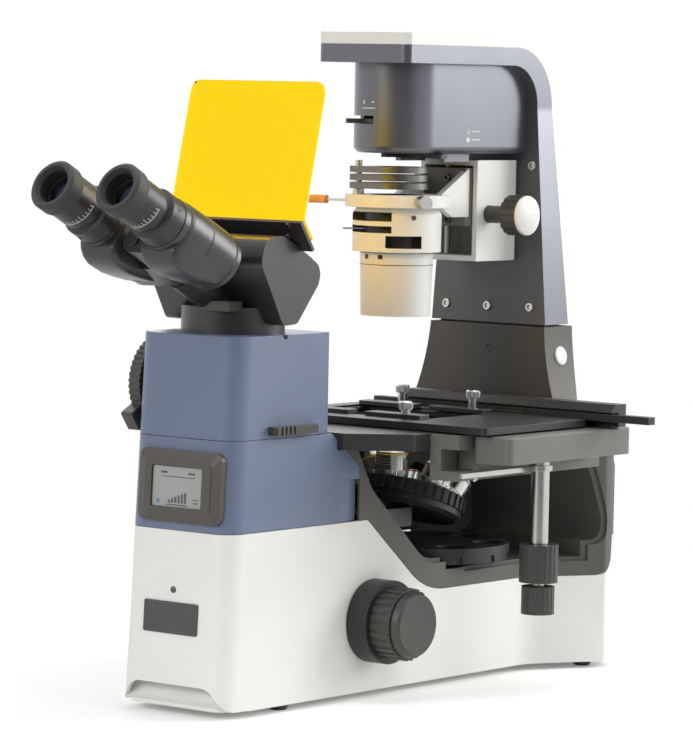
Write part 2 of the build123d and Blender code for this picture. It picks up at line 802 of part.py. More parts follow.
def make_nosepiece():
    rim = extrude(Pos(0, 0, nose_rim_bottom) * ribbed_disc(nose_radius, nose_ribs, 1.2),
                  amount=nose_rim_top - nose_rim_bottom)
    rim += turned(((0, nose_rim_top), (24, nose_rim_top), (11, 7.5), (0, 7.5)))
    spokes = [Location((0, 0, 0), (0, 0, 360 / objective_count * index)) for index in range(objective_count)]
    lean = Location((0, -objective_circle, 0), (nose_tilt, 0, 0))
    for spoke in spokes:
        rim += spoke * lean * Pos(0, 0, -3.5) * Cylinder(objective_radius + 0.8, 7)
    rim -= Pos(0, 0, nose_rim_bottom - 8) * extrude(Circle(nose_dish_radius), amount=8)
    for spoke in spokes:
        rim -= spoke * lean * Pos(0, 0, 15) * Cylinder(objective_radius + seat_gap, 30)
        rim -= spoke * lean * Pos(0, 0, -6) * Cylinder(light_bore, 40)
    rim -= Cylinder(nose_hub_radius + run_gap, 40)
    parts["nosepiece_turret"] = nose_plane.location * rim

    lengths = (36.0, 31.0, 34.0, 27.0, 34.0)
    lenses = []
    for spoke, length in zip(spokes, lengths):
        lens = turned(((light_bore - 1, 0), (objective_radius, 0), (objective_radius, length * 0.62),
                       (objective_radius - 1, length * 0.66), (8.5, length - 4), (6.5, length),
                       (4.0, length), (4.0, length - 6), (light_bore - 1, length * 0.5)))
        lenses.append(nose_plane.location * spoke * lean * lens)
    parts["objectives"] = lenses

    dish = turned(((0, nose_dish_bottom), (nose_dish_radius - 4, nose_dish_bottom),
                   (nose_dish_radius, nose_dish_bottom + 3), (nose_dish_radius, nose_rim_bottom - seat_gap),
                   (0, nose_rim_bottom - seat_gap)))
    dish += Pos(0, 0, -2) * Cylinder(nose_hub_radius, 16)
    carrier = nose_plane.location * dish
    beam = block(-arm_half_width, arm_half_width, slide_block_rear - 2, 4, arm_bottom, arm_top)
    carrier += beam
    carrier += block(-focus_post_half - 4, focus_post_half + 4, focus_post_rear + slide_gap,
                     slide_block_rear, slide_block_bottom, slide_block_top)
    carrier -= rod_z(light_bore + 1, 90, 150)
    parts["nosepiece_bracket"] = carrier

    post = block(-focus_post_half, focus_post_half, focus_post_front, focus_post_rear,
                 floor_z, focus_post_top)
    post += block(-focus_post_half - 8, focus_post_half + 8, focus_post_front - 10, focus_post_rear + 8,
                  floor_z, floor_z + 8)
    post += block(-focus_post_half, focus_post_half, focus_post_rear - 1, focus_y + focus_block_half,
                  focus_z - focus_block_half, focus_z + focus_block_half)
    post -= rod_x(focus_shaft_radius + run_gap, -body_half_width, body_half_width, focus_y, focus_z)
    parts["focus_guide"] = post


def knob_ring(radius, inner, low, high, ribs):
    face = ribbed_disc(radius, ribs, 0.9) - Circle(inner) if ribs else Circle(radius) - Circle(inner)
    return Pos(low, focus_y, focus_z) * (Rot(0, 90, 0) * extrude(face, amount=high - low))


def make_focus():
    start = half_width_at(focus_z - tension_radius) + seat_gap
    shaft = rod_x(focus_shaft_radius, -coarse_end + 3, coarse_end - 3, focus_y, focus_z)
    parts["focus_shaft"] = shaft - rod_x(fine_shaft_radius + run_gap, -150, 150, focus_y, focus_z)
    sleeve = focus_shaft_radius + run_gap
    parts["tension_ring"] = knob_ring(tension_radius, sleeve, start, tension_end, 0)
    right = knob_ring(coarse_radius, sleeve - run_gap, tension_end + seat_gap, coarse_end, coarse_ribs)
    left = knob_ring(coarse_radius, sleeve - run_gap, start, coarse_end, coarse_ribs).mirror(Plane.YZ)
    parts["coarse_knobs"] = [right, left]
    fine_length = fine_end - coarse_end
    stub = rod_x(fine_shaft_radius, -coarse_end - seat_gap, coarse_end + seat_gap, focus_y, focus_z)
    cap = Pos(coarse_end + seat_gap, focus_y, focus_z) * (Rot(0, 90, 0) * turned(
        ((0, 0), (fine_radius - 1, 0), (fine_radius, 1), (fine_radius - fine_cone / 2, fine_length - 1.5),
         (fine_radius - fine_cone, fine_length), (0, fine_length))))
    parts["fine_knobs"] = [cap + stub, cap.mirror(Plane.YZ)]


def make_filter_turret():
    upper = Circle(filter_radius)
    lower = Circle(filter_radius - 1)
    for place in PolarLocations(filter_radius, filter_notches):
        lower -= place * Rectangle(5, 6)
    disc = prism_z(upper, filter_split_z, filter_top) + prism_z(lower, filter_bottom, filter_split_z)
    disc -= rod_z(filter_pin_radius, 0, filter_top - 2)
    for place in PolarLocations(filter_axis_y, filter_ports, start_angle=-90):
        disc -= place * Pos(0, 0, (filter_bottom + filter_top) / 2) * Cylinder(filter_port_radius, 30)
    parts["filter_turret"] = Pos(0, filter_axis_y, 0) * disc

    wedge = outline((-mirror_half, floor_z), (mirror_half, floor_z), (mirror_half, floor_z + 2 * mirror_half))
    parts["fold_mirror"] = prism_x(wedge, -mirror_half, mirror_half)


def make_column():
    lean = (column_rear_foot - column_rear_top) / (arm_top_z - column_foot_z)
    seam_rear_top = column_rear_top + lean * (arm_top_z - arm_seam_z) - cover_rear_thickness
    seam_rear_foot = column_rear_foot - cover_rear_thickness
    seam_radius = arm_outer_radius - cover_rear_thickness
    side = outline((arm_front, arm_low_z), (column_front, arm_low_z, arm_inner_radius),
                   (column_front, column_foot_z), (seam_rear_foot, column_foot_z),
                   (seam_rear_top, arm_seam_z, seam_radius), (arm_front, arm_seam_z))
    cover_side = outline((arm_front, arm_seam_z), (seam_rear_top, arm_seam_z, seam_radius),
                         (seam_rear_foot, column_foot_z), (column_rear_foot, column_foot_z),
                         (column_rear_top, arm_top_z, arm_outer_radius), (arm_front, arm_top_z))
    face = outline((-column_foot_half, column_foot_z - 1), (column_foot_half, column_foot_z - 1),
                   (arm_half, column_neck_z, column_neck_radius), (arm_half, arm_top_z + 1),
                   (-arm_half, arm_top_z + 1),
                   (-arm_half, column_neck_z, column_neck_radius))
    trim = prism_y(face, arm_front - 5, column_rear_foot + 5)
    side_half = column_foot_half + 1
    rear = column_rear_foot + 0.5
    corner = prism_z(outline((-arm_half, arm_front, arm_corner), (arm_half, arm_front, arm_corner),
                             (side_half, arm_shoulder_y), (side_half, rear, column_corner),
                             (-side_half, rear, column_corner), (-side_half, arm_shoulder_y)),
                     column_foot_z - 1, arm_top_z + 1)
    parts["column_arm"] = prism_x(side, -column_foot_half, column_foot_half) & trim & corner
    parts["column_cover"] = prism_x(cover_side, -column_foot_half, column_foot_half) & trim & corner

    flare = Polyline((-pedestal_half_foot, stage_bottom), (pedestal_half_foot, stage_bottom))
    right = ThreePointArc((pedestal_half_foot, stage_bottom), (pedestal_waist_half, pedestal_waist_z),
                          (pedestal_half_top, pedestal_top))
    top = Line((pedestal_half_top, pedestal_top), (-pedestal_half_top, pedestal_top))
    left = ThreePointArc((-pedestal_half_top, pedestal_top), (-pedestal_waist_half, pedestal_waist_z),
                         (-pedestal_half_foot, stage_bottom))
    front_face = make_face([*flare.edges(), right, top, left])
    pedestal = prism_y(front_face, pedestal_front_foot - 2, pedestal_rear_foot + 5)
    pedestal &= prism_x(outline((pedestal_front_foot, stage_bottom), (pedestal_rear_foot, stage_bottom),
                                (column_rear_foot, pedestal_top), (column_front - 1, pedestal_top)),
                        -wing_half, wing_half)
    foot_plan = outline((-pedestal_half_foot - 1, pedestal_front_foot - 1),
                        (pedestal_half_foot + 1, pedestal_front_foot - 1),
                        (pedestal_half_foot + 1, pedestal_rear_foot, pedestal_corner),
                        (-pedestal_half_foot - 1, pedestal_rear_foot, pedestal_corner))
    pedestal &= prism_z(foot_plan, stage_bottom - 1, pedestal_top + 1)
    pedestal += block(-column_foot_half + spigot_inset, column_foot_half - spigot_inset,
                      column_front + spigot_inset, seam_rear_foot - spigot_inset,
                      pedestal_top - 1, column_foot_z)
    parts["column_base"] = pedestal


def make_lamp():
    plan = Circle(lamp_radius) + Pos(0, column_front / 2) * Rectangle(2 * lamp_radius, column_front)
    inner = Circle(lamp_radius - lamp_wall) + Pos(0, column_front / 2) * Rectangle(
        2 * (lamp_radius - lamp_wall), column_front - 2 * lamp_wall)
    housing = prism_z(plan, lamp_bottom, arm_low_z)
    housing = fillet(housing.faces().sort_by(Axis.Z)[0].edges().filter_by(
        lambda edge: edge.center().Y < column_front - 1), lamp_edge)
    housing -= prism_z(inner, lamp_bottom + lamp_wall, arm_low_z + 1)
    housing -= rod_z(lamp_port_radius, lamp_bottom - 1, lamp_bottom + 10)
    sector = outline((0, 0), (-60, -8), (-60, -60), (4, -60))
    housing -= prism_z(sector, field_slot_z - field_slot_height / 2, field_slot_z + field_slot_height / 2)
    housing += prism_z(Circle(lamp_radius - lamp_wall) - Circle(lamp_port_radius),
                       field_slot_z - field_slot_height / 2 - 4, field_slot_z - field_slot_height / 2 - 1)
    shutter_top = lamp_bottom - seat_gap
    shutter_low = shutter_top - shutter_thickness
    for side_sign in (-1, 1):
        inner = shutter_half + seat_gap
        rail = block(inner, inner + shutter_rail, shutter_rail_front, shutter_rail_rear,
                     shutter_low - seat_gap - shutter_rail, lamp_bottom)
        rail += block(inner - shutter_rail, inner + shutter_rail, shutter_rail_front, shutter_rail_rear,
                      shutter_low - seat_gap - shutter_rail, shutter_low - seat_gap)
        housing += rail if side_sign > 0 else rail.mirror(Plane.YZ)
    parts["lamp_housing"] = housing - parts["column_arm"]

    lever = Circle(field_ring_outer) - Circle(field_ring_inner)
    tab = outline((-3.5, -field_ring_outer + 1), (3.5, -field_ring_outer + 1), (3.5, -lamp_radius - 6, 1.5),
                  (-3.5, -lamp_radius - 6, 1.5))
    low = field_slot_z - field_slot_height / 2 - 1 + seat_gap
    ring = prism_z(lever + Rot(0, 0, -50) * tab, low + 0.9, low + 4.4)
    parts["field_lever"] = ring

    module = rod_z(lamp_radius - lamp_wall - 4, arm_low_z - 16, arm_low_z)
    module += rod_z(12, arm_low_z - 24, arm_low_z - 16)
    parts["lamp_module"] = module

    plate = block(-shutter_half, shutter_half, shutter_front, shutter_rear, shutter_low, shutter_top)
    plate -= rod_z(shutter_port, shutter_low - 1, shutter_top + 1)
    plate += block(shutter_half - 2, lamp_radius + 3, shutter_front, shutter_front + shutter_ear,
                   shutter_low, shutter_top)
    parts["shutter_slide"] = plate


def make_condenser():
    shell = block(-box_half, box_half, box_front, column_front, box_bottom, box_top)
    shell = fillet(shell.edges().filter_by(Axis.Z).sort_by(Axis.Y)[-2:], 6)
    shell -= block(-box_half + box_wall, box_half - box_wall, box_front - 1, column_front - box_wall,
                   box_bottom + box_wall, box_top - box_wall)
    shell -= rod_x(condenser_stem_radius + run_gap, 0, 60, condenser_knob_y, condenser_knob_z)
    parts["slide_housing"] = shell
    rods = []
    for x in (-guide_rod_x, guide_rod_x):
        rods.append(rod_z(guide_rod_radius, box_bottom + box_wall, box_top - box_wall, x, guide_rod_y))
    parts["guide_rods"] = rods

    slider_top = box_top - box_wall - 2
    bear = block(-slide_plate_half + seat_gap, slide_plate_half - seat_gap, slide_plate_front,
                 guide_rod_y + 8, slide_plate_bottom, slider_top)
    bear -= block(-guide_rod_x + 7, guide_rod_x - 7, box_front + 6, guide_rod_y + 10,
                  slide_plate_bottom - 1, slider_top + 1)
    for x in (-guide_rod_x, guide_rod_x):
        bear -= rod_z(guide_rod_radius + run_gap, box_bottom, box_top, x, guide_rod_y)
    bear -= block(slide_plate_half - 3, box_half, condenser_knob_y - 8, condenser_knob_y + 8,
                  box_bottom, box_top)
    ring = prism_z(Circle(carrier_ring_radius), carrier_low, carrier_high)
    arm = block(-slide_plate_half, slide_plate_half, 0, slide_plate_front + 1, carrier_low, carrier_high)
    carrier = bear + ring + arm
    cheek = outline((slide_plate_front + 4, slider_top), (24, carrier_high), (24, carrier_low),
                    (38, carrier_foot_z), (slide_plate_front + 4, carrier_foot_z))
    for x_sign in (-1, 1):
        outer = x_sign * slide_plate_half
        inner = x_sign * (slide_plate_half - carrier_cheek)
        carrier += prism_x(cheek, min(outer, inner), max(outer, inner))
    carrier -= rod_z(condenser_radius - 5, carrier_foot_z - 1, carrier_high + 1)
    parts["condenser_carrier"] = carrier

    neck = condenser_radius - 5 - seat_gap
    body = turned(((condenser_neck - 3, condenser_bottom), (condenser_radius, condenser_bottom),
                   (condenser_radius, carrier_low - 5), (condenser_radius - 3, carrier_low - seat_gap),
                   (neck, carrier_low - seat_gap), (neck, carrier_high), (condenser_neck - 3, carrier_high)))
    front_wedge = outline((0, 0), (-60, -46), (-60, -60), (60, -60), (36, -60))
    body -= prism_z(front_wedge - Circle(condenser_neck), slot_upper_low, slot_upper_high)
    body -= prism_z(front_wedge - Circle(condenser_neck), slot_lower_low, slot_lower_high)
    side_wedge = outline((0, 0), (26, -60), (60, -60), (60, -20))
    body -= prism_z(side_wedge - Circle(condenser_neck), 319.0, 328.0)
    parts["condenser_body"] = body

    barrel = turned(((barrel_bore, barrel_bottom), (barrel_low_radius, barrel_bottom),
                     (barrel_top_radius, condenser_bottom), (barrel_bore, condenser_bottom)))
    parts["condenser_barrel"] = barrel

    shoe = Circle(condenser_neck + lever_shoe) - Circle(condenser_neck + run_gap)
    shoe &= outline((0, 0), (-condenser_neck / 4, -2 * condenser_neck),
                    (condenser_neck / 4, -2 * condenser_neck))
    stick = Pos(0, -condenser_neck - lever_stick / 2 - 1) * Rectangle(3, lever_stick)
    mid = (slot_lower_low + slot_lower_high) / 2
    parts["aperture_lever"] = prism_z(Rot(0, 0, lever_rest) * (shoe + stick), mid - 0.6, mid + 0.6)

    pin_top = disc_bottom + 3 * disc_pitch + 3
    pin = rod_z(disc_pin_radius, carrier_high, pin_top, disc_pin_x, disc_pin_y)
    pin += rod_z(disc_pin_radius + 1.6, carrier_high, disc_bottom - seat_gap, disc_pin_x, disc_pin_y)
    parts["condenser_carrier"] += pin
    names = ("filter_holder_lower", "filter_holder_middle", "filter_holder_upper")
    for index, name in enumerate(names):
        low = disc_bottom + index * disc_pitch
        eye = Pos(disc_pin_x, disc_pin_y) * Circle(disc_pin_radius + 4)
        disc = prism_z(make_hull([*Circle(disc_radius).edges(), *eye.edges()]), low, low + disc_height)
        disc -= rod_z(disc_pin_radius + run_gap, low - 1, low + disc_pitch, disc_pin_x, disc_pin_y)
        disc -= rod_z(disc_glass_radius, low + 1.2, low + disc_pitch)
        disc -= rod_z(disc_glass_radius - 2, low - 1, low + disc_pitch)
        parts[name] = disc

    knob_start = condenser_knob_end - condenser_knob_length
    face = ribbed_disc(condenser_knob_radius, 16, 0.9, 0.35)
    grip = extrude(face, amount=condenser_knob_length - 5)
    grip += Pos(0, 0, condenser_knob_length - 5) * turned(
        ((0, 0), (condenser_knob_radius, 0), (condenser_knob_radius - 1, 2.5), (8, 4.6), (0, 5)))
    knob = Pos(knob_start, condenser_knob_y, condenser_knob_z) * (Rot(0, 90, 0) * grip)
    knob += rod_x(condenser_stem_radius, slide_plate_half - 2, knob_start + 1, condenser_knob_y,
                  condenser_knob_z)
    parts["condenser_knob"] = knob

    angle = radians(clamp_angle)
    start = carrier_ring_radius - clamp_depth
    seat = Plane(origin=(start * cos(angle), start * sin(angle), (carrier_low + carrier_high) / 2),
                 x_dir=(0, 0, 1), z_dir=(cos(angle), sin(angle), 0))
    head_low = clamp_depth + 2
    screw = turned(((0, seat_gap), (clamp_stem, seat_gap), (clamp_stem, head_low), (clamp_head, head_low),
                    (clamp_head, head_low + clamp_grip), (0, head_low + clamp_grip)))
    parts["condenser_clamp_screw"] = seat.location * screw
    bore = seat.location * (Pos(0, 0, clamp_depth / 2 + 2) * Cylinder(clamp_stem + run_gap, clamp_depth + 4))
    parts["condenser_carrier"] -= bore


def head_form():
    section = outline((head_y - 27, head_z + 28, 8), (slope_high[0], slope_high[1], 12),
                      (slope_low[0], slope_low[1], 10), (head_y + 31, head_z - 4, 10),
                      (head_y + 8, head_z - 31, 6), (head_y - 7, head_z - 32, 6),
                      (head_y - 32, head_z + 12, 10))
    return prism_x(section, -head_left, head_right)


def make_tube(side_sign, side, start):
    offset_x = side_sign * eye_distance / 2
    centre = Pos(offset_x, tube_drop, 0)
    wide = tube_radius + 1
    slim = tube_radius - 1
    collar_end = tube_neck + tube_collar
    tube = centre * turned(((0, tube_back), (wide - tube_round, tube_back),
                            (wide - tube_round / 4, tube_back + tube_round / 4),
                            (wide, tube_back + tube_round), (wide, tube_neck), (tube_radius, tube_neck + 1),
                            (tube_radius, collar_end), (slim, collar_end + 1), (slim, tube_length),
                            (0, tube_length)))
    barrel = Pos(offset_x, tube_drop) * Circle(tube_radius)
    web = make_hull([*barrel.edges(), *Circle(hub_radius).edges()])
    inner = Pos(offset_x * box_share, tube_drop * box_share) * Circle(box_radius)
    box = make_hull([*barrel.edges(), *inner.edges()])
    arm = tube + extrude(Pos(0, 0, start) * web, amount=hub_length)
    arm += extrude(Pos(0, 0, tube_back) * box, amount=box_end - tube_back)
    arm -= Pos(0, 0, start) * Cylinder(hinge_pin_radius + run_gap, 2 * tube_length)
    arm -= Pos(offset_x, tube_drop, tube_length / 2) * Cylinder(eyepiece_spigot + run_gap, 2 * tube_length)
    parts["tube_arm_" + side] = hinge_plane.location * arm

    seat = tube_length + seat_gap
    ring_end = tube_length + 14
    groove = eyepiece_radius - 1.5
    eye = turned(((eye_lens_radius, tube_length - 20), (eyepiece_spigot, tube_length - 20),
                  (eyepiece_spigot, seat), (slim - 0.5, seat), (slim - 0.5, ring_end), (groove, ring_end + 2),
                  (groove, ring_end + 5), (eyepiece_radius, ring_end + 6), (eyepiece_radius, eyepiece_end),
                  (eye_lens_radius, eyepiece_end)))
    eye += Pos(0, 0, eyepiece_end - 8) * Cylinder(eye_lens_radius, 4)
    parts["eyepiece_" + side] = hinge_plane.location * (centre * eye)
    cup = turned(((eye_lens_radius + 1, eyepiece_end), (eyecup_radius - 0.6, eyepiece_end),
                  (eyecup_radius, eyepiece_end + 2), (eyecup_radius, eyecup_end - 2),
                  (eyecup_radius - 2, eyecup_end), (eye_lens_radius + 3, eyecup_end),
                  (eye_lens_radius + 1, eyecup_end - 4)))
    parts["eyecup_" + side] = hinge_plane.location * (centre * cup)


def make_head():
    ring = rod_z(head_ring_radius, block_top, head_ring_top, head_ring_x, head_y)
    body = head_form()
    boss = extrude(Pos(0, 0, -hinge_boss_depth) * Circle(hinge_boss_radius),
                   amount=hinge_boss_depth + hub_start - seat_gap)
    boss = hinge_plane.location * boss
    pin_length = hub_start + 2 * hub_length + 2
    pin = hinge_plane.location * extrude(Circle(hinge_pin_radius), amount=pin_length)
    parts["binocular_body"] = body + boss + pin
    parts["head_mount_ring"] = ring - body - boss
    make_tube(-1, "left", hub_start)
    make_tube(1, "right", hub_start + hub_length + seat_gap)


def along(start, end, near, far, low, high):
    # A strip that follows the line from start to end, between two shares and two heights above it.
    run = Vector(*end) - Vector(*start)
    step = run.normalized()
    rise = Vector(-step.Y, step.X)
    if rise.Y < 0:
        rise = rise * -1
    corners = []
    for share, height in ((near, low), (far, low), (far, high), (near, high)):
        point = Vector(*start) + run * share + rise * height
        corners.append((point.X, point.Y))
    return polygon(corners)


def make_shield():
    foot = Vector(shield_foot_y, shield_foot_z)
    top = Vector(shield_top_y, shield_top_z)
    low = Vector(bracket_low_y, bracket_low_z)
    up = (top - foot).normalized()
    down = (low - foot).normalized()
    back_up = Vector(up.Y, -up.X)
    back_down = Vector(-down.Y, down.X)
    bend = foot + (back_up + back_down) * (shield_thickness / (1 + back_up.dot(back_down)))
    flange_end = foot + down * ((low - foot).length * shield_flange_share)
    loop = (foot, top, top + back_up * shield_thickness, bend,
            flange_end + back_down * shield_thickness, flange_end)
    left = shield_x - shield_width / 2
    sheet = prism_x(polygon([(point.X, point.Y) for point in loop]), left, left + shield_width)
    ends = sheet.edges().filter_by(lambda edge: edge.length < shield_thickness + 0.1)
    corners = ends.sort_by(Axis.Z)[-2:]
    parts["emission_shield"] = fillet(corners, shield_corner)

    under = back_down * bracket_thickness
    plate = polygon([(point.X, point.Y) for point in (foot, low, low - under, foot - under)])
    bracket = prism_x(plate, left, left + shield_width)
    sole = along(slope_high, slope_low, 0.5, 0.85, 0, bracket_thickness)
    bracket += prism_x(sole, -head_left + 4, head_right - 4)
    parts["shield_bracket"] = bracket - head_form()


def make_wheel():
    side = half_width_at(wheel_z)
    face = ribbed_disc(wheel_radius, wheel_ribs, 0.8)
    lug = outline((-6, -wheel_radius + 2), (6, -wheel_radius + 2), (8, -wheel_radius - 12, 1.5),
                  (-8, -wheel_radius - 12, 1.5))
    wheel = extrude(face, amount=wheel_thickness)
    wheel += Rot(0, 0, -36) * extrude(lug, amount=wheel_thickness)
    wheel -= Pos(0, 0, wheel_thickness - 3) * extrude(Circle(wheel_radius - 6), amount=5)
    wheel += Pos(0, 0, -(wheel_gap + 8)) * extrude(Circle(condenser_stem_radius), amount=wheel_gap + 9)
    parts["selector_wheel"] = Pos(-side - wheel_gap, wheel_y, wheel_z) * (Rot(0, -90, 0) * wheel)

    half = half_width_at(lever_z)
    grip = block(half + seat_gap, half + lever_reach, lever_front, lever_front + lever_length,
                 lever_z - lever_height / 2, lever_z + lever_height / 2)
    grip = chamfer(grip.edges().filter_by(Axis.Z).sort_by(Axis.X)[-2:], 2)
    for index in range(4):
        y = lever_front + 6 + 4.5 * index
        grip -= block(half + lever_reach - 1.5, half + lever_reach + 2, y, y + 2, 0, 300)
    tongue = block(half - 10, half + 1, lever_front + 12, lever_front + lever_length - 4,
                   lever_z - lever_height / 2 + 1, lever_z + lever_height / 2 - 1)
    parts["path_slider"] = grip + tongue


def make_all():
    make_base()
    make_tower()
    make_display()
    make_liner()
    make_rear_cover()
    make_stage()
    make_carriage()
    make_holder()
    make_nosepiece()
    make_focus()
    make_filter_turret()
    make_column()
    make_lamp()
    make_condenser()
    make_head()
    make_shield()
    make_wheel()


make_all()
os.makedirs("parts", exist_ok=True)
for name, shape in parts.items():
    solid = Compound(children=shape) if isinstance(shape, list) else shape
    export_step(solid, f"parts/{name}.step")
    print(name)
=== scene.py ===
import math

import bmesh
import bpy
from mathutils import Matrix, Vector
from mathutils.bvhtree import BVHTree


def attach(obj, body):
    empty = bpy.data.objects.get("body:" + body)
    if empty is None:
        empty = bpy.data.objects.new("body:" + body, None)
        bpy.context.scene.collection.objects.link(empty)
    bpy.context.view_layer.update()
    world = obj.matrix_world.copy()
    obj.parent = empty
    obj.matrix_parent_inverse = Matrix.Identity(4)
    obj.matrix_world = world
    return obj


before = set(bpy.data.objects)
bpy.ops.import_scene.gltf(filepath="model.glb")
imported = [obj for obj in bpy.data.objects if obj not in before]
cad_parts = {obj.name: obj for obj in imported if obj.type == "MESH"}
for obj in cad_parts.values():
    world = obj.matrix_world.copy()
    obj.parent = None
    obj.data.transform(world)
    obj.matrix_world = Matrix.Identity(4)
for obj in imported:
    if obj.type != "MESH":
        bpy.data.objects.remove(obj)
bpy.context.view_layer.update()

scene = bpy.context.scene
scene.view_settings.view_transform = "Standard"


# small helpers

def mm(*values):
    return Vector([v * 0.001 for v in values])


def linear(code):
    # sRGB hex to linear, the only way a colour enters this file
    code = code.lstrip("#")
    out = []
    for i in (0, 2, 4):
        c = int(code[i:i + 2], 16) / 255
        out.append(c / 12.92 if c <= 0.04045 else ((c + 0.055) / 1.055) ** 2.4)
    return (*out, 1.0)


def perMm(size):
    # texture scale for a pattern whose features are this many millimetres
    return 1000.0 / size


def addNode(owner, kind, links=None, **settings):
    # adds one node to a material or the world; a setting is a property, or a socket name with _ for spaces;
    # a link is (from node, from socket)
    tree = owner.node_tree
    node = tree.nodes.new(kind)
    for key, value in settings.items():
        if hasattr(node, key):
            setattr(node, key, value)
        else:
            node.inputs[key.replace("_", " ")].default_value = value
    for socket, (source, output) in (links or {}).items():
        tree.links.new(source.outputs[output], node.inputs[socket])
    return node


def newMaterial(name):
    mat = bpy.data.materials.new(name)
    mat.use_nodes = True
    mat.node_tree.nodes.clear()
    return mat


def rampStops(node, stops):
    ramp = node.color_ramp
    while len(ramp.elements) < len(stops):
        ramp.elements.new(0.5)
    for element, (place, colour) in zip(ramp.elements, stops):
        element.position = place
        element.color = colour
    return node


# camera: the photograph's angle, from the right front

cameraSet = {"place": (1.8058, -2.3181, 0.4397), "ahead": (-0.62221, 0.77942, -0.07324),
             "right": (0.78050, 0.62487, 0.01914), "up": (-0.06068, 0.04524, 0.99713), "lens": 192.0}


def makeCamera():
    data = bpy.data.cameras.new("photoCamera")
    data.lens = cameraSet["lens"]
    data.sensor_width = 36.0
    data.clip_start = 0.05
    data.clip_end = 50.0
    cam = bpy.data.objects.new("photoCamera", data)
    scene.collection.objects.link(cam)
    right = Vector(cameraSet["right"])
    up = Vector(cameraSet["up"])
    back = -Vector(cameraSet["ahead"])
    turn = Matrix((right, up, back)).transposed().to_4x4()
    cam.matrix_world = Matrix.Translation(cameraSet["place"]) @ turn
    scene.camera = cam


makeCamera()


# studio: white world, pale floor that fades out, soft boxes

studioSet = {"ambient": 0.42, "ambientHex": "#F6F7F8", "paperHex": "#FFFFFF",
             "openSide": (0.615, -0.780, 0.110), "openFrom": 0.50, "openTo": 0.94, "openLight": 0.22,
             "floorHex": "#FAFAF8", "floorGlow": 0.17, "floorRadius": 2.6, "floorSides": 96,
             "floorZ": -0.0004, "fadeFrom": 0.36, "fadeTo": 0.95}


def makeWorld():
    world = bpy.data.worlds.new("softStudio")
    scene.world = world
    world.use_nodes = True
    world.node_tree.nodes.clear()
    paper = linear(studioSet["paperHex"])
    plain = addNode(world, "ShaderNodeBackground", Color=linear(studioSet["ambientHex"]),
                    Strength=studioSet["ambient"])
    white = addNode(world, "ShaderNodeBackground", Color=paper, Strength=1.0)
    path = addNode(world, "ShaderNodeLightPath")
    # what polished and painted faces mirror: white paper all round, with a dim opening on one side of the set
    way = addNode(world, "ShaderNodeTexCoord")
    toward = addNode(world, "ShaderNodeVectorMath", {0: (way, "Generated")}, operation="DOT_PRODUCT")
    toward.inputs[1].default_value = studioSet["openSide"]
    dim = addNode(world, "ShaderNodeMapRange", {"Value": (toward, "Value")}, interpolation_type="SMOOTHSTEP",
                  From_Min=studioSet["openFrom"], From_Max=studioSet["openTo"],
                  To_Min=1.0, To_Max=studioSet["openLight"])
    room = addNode(world, "ShaderNodeBackground", {"Strength": (dim, "Result")}, Color=paper)
    mirrored = addNode(world, "ShaderNodeMixShader", {
        "Fac": (path, "Is Glossy Ray"), 1: (plain, "Background"), 2: (room, "Background")})
    # the camera sees plain white, straight or through the clear shield
    seen = addNode(world, "ShaderNodeMath", {0: (path, "Is Camera Ray"), 1: (path, "Is Transmission Ray")},
                   operation="MAXIMUM")
    mix = addNode(world, "ShaderNodeMixShader", {
        "Fac": (seen, "Value"), 1: (mirrored, "Shader"), 2: (white, "Background")})
    addNode(world, "ShaderNodeOutputWorld", {"Surface": (mix, "Shader")})


def makeFloor():
    mesh = bpy.data.meshes.new("studioFloor")
    bm = bmesh.new()
    bmesh.ops.create_circle(bm, cap_ends=True, radius=studioSet["floorRadius"],
                            segments=studioSet["floorSides"])
    bm.to_mesh(mesh)
    bm.free()
    floor = bpy.data.objects.new("studioFloor", mesh)
    floor.location = (0.0, 0.0, studioSet["floorZ"])
    scene.collection.objects.link(floor)
    mat = newMaterial("paper sweep, matt white")  # seamless paper: soft contact shadow, no edge
    place = addNode(mat, "ShaderNodeTexCoord")
    reach = addNode(mat, "ShaderNodeVectorMath", {"Vector": (place, "Object")}, operation="LENGTH")
    fade = addNode(mat, "ShaderNodeMapRange", {"Value": (reach, "Value")}, interpolation_type="SMOOTHSTEP",
                   From_Min=studioSet["fadeFrom"], From_Max=studioSet["fadeTo"])
    paper = addNode(mat, "ShaderNodeBsdfDiffuse", Color=linear(studioSet["floorHex"]))
    clear = addNode(mat, "ShaderNodeBsdfTransparent")
    path = addNode(mat, "ShaderNodeLightPath")
    lift = addNode(mat, "ShaderNodeMath", {0: (path, "Is Camera Ray")}, operation="MULTIPLY")
    lift.inputs[1].default_value = studioSet["floorGlow"]
    glow = addNode(mat, "ShaderNodeEmission", {"Strength": (lift, "Value")})
    bright = addNode(mat, "ShaderNodeAddShader", {0: (paper, "BSDF"), 1: (glow, "Emission")})
    mix = addNode(mat, "ShaderNodeMixShader", {
        "Fac": (fade, "Result"), 1: (bright, "Shader"), 2: (clear, "BSDF")})
    addNode(mat, "ShaderNodeOutputMaterial", {"Surface": (mix, "Shader")})
    mesh.materials.append(mat)


lampSet = [
    # name, place, aimed at, size, watts
    ("softBoxFront", (-0.25, -2.45, 1.35), (0.0, -0.1, 0.25), 1.4, 25.0),
    ("softBoxRight", (2.3, -0.3, 1.5), (0.0, 0.0, 0.2), 1.4, 9.0),
    ("softBoxRightRear", (1.5, 1.95, 1.2), (0.0, 0.0, 0.4), 1.6, 48.0),
    ("softBoxTop", (0.2, 0.1, 2.2), (0.0, 0.0, 0.2), 1.6, 15.0),
    ("rimLeftRear", (-1.6, 1.2, 1.2), (0.0, 0.0, 0.25), 1.0, 10.0),
]


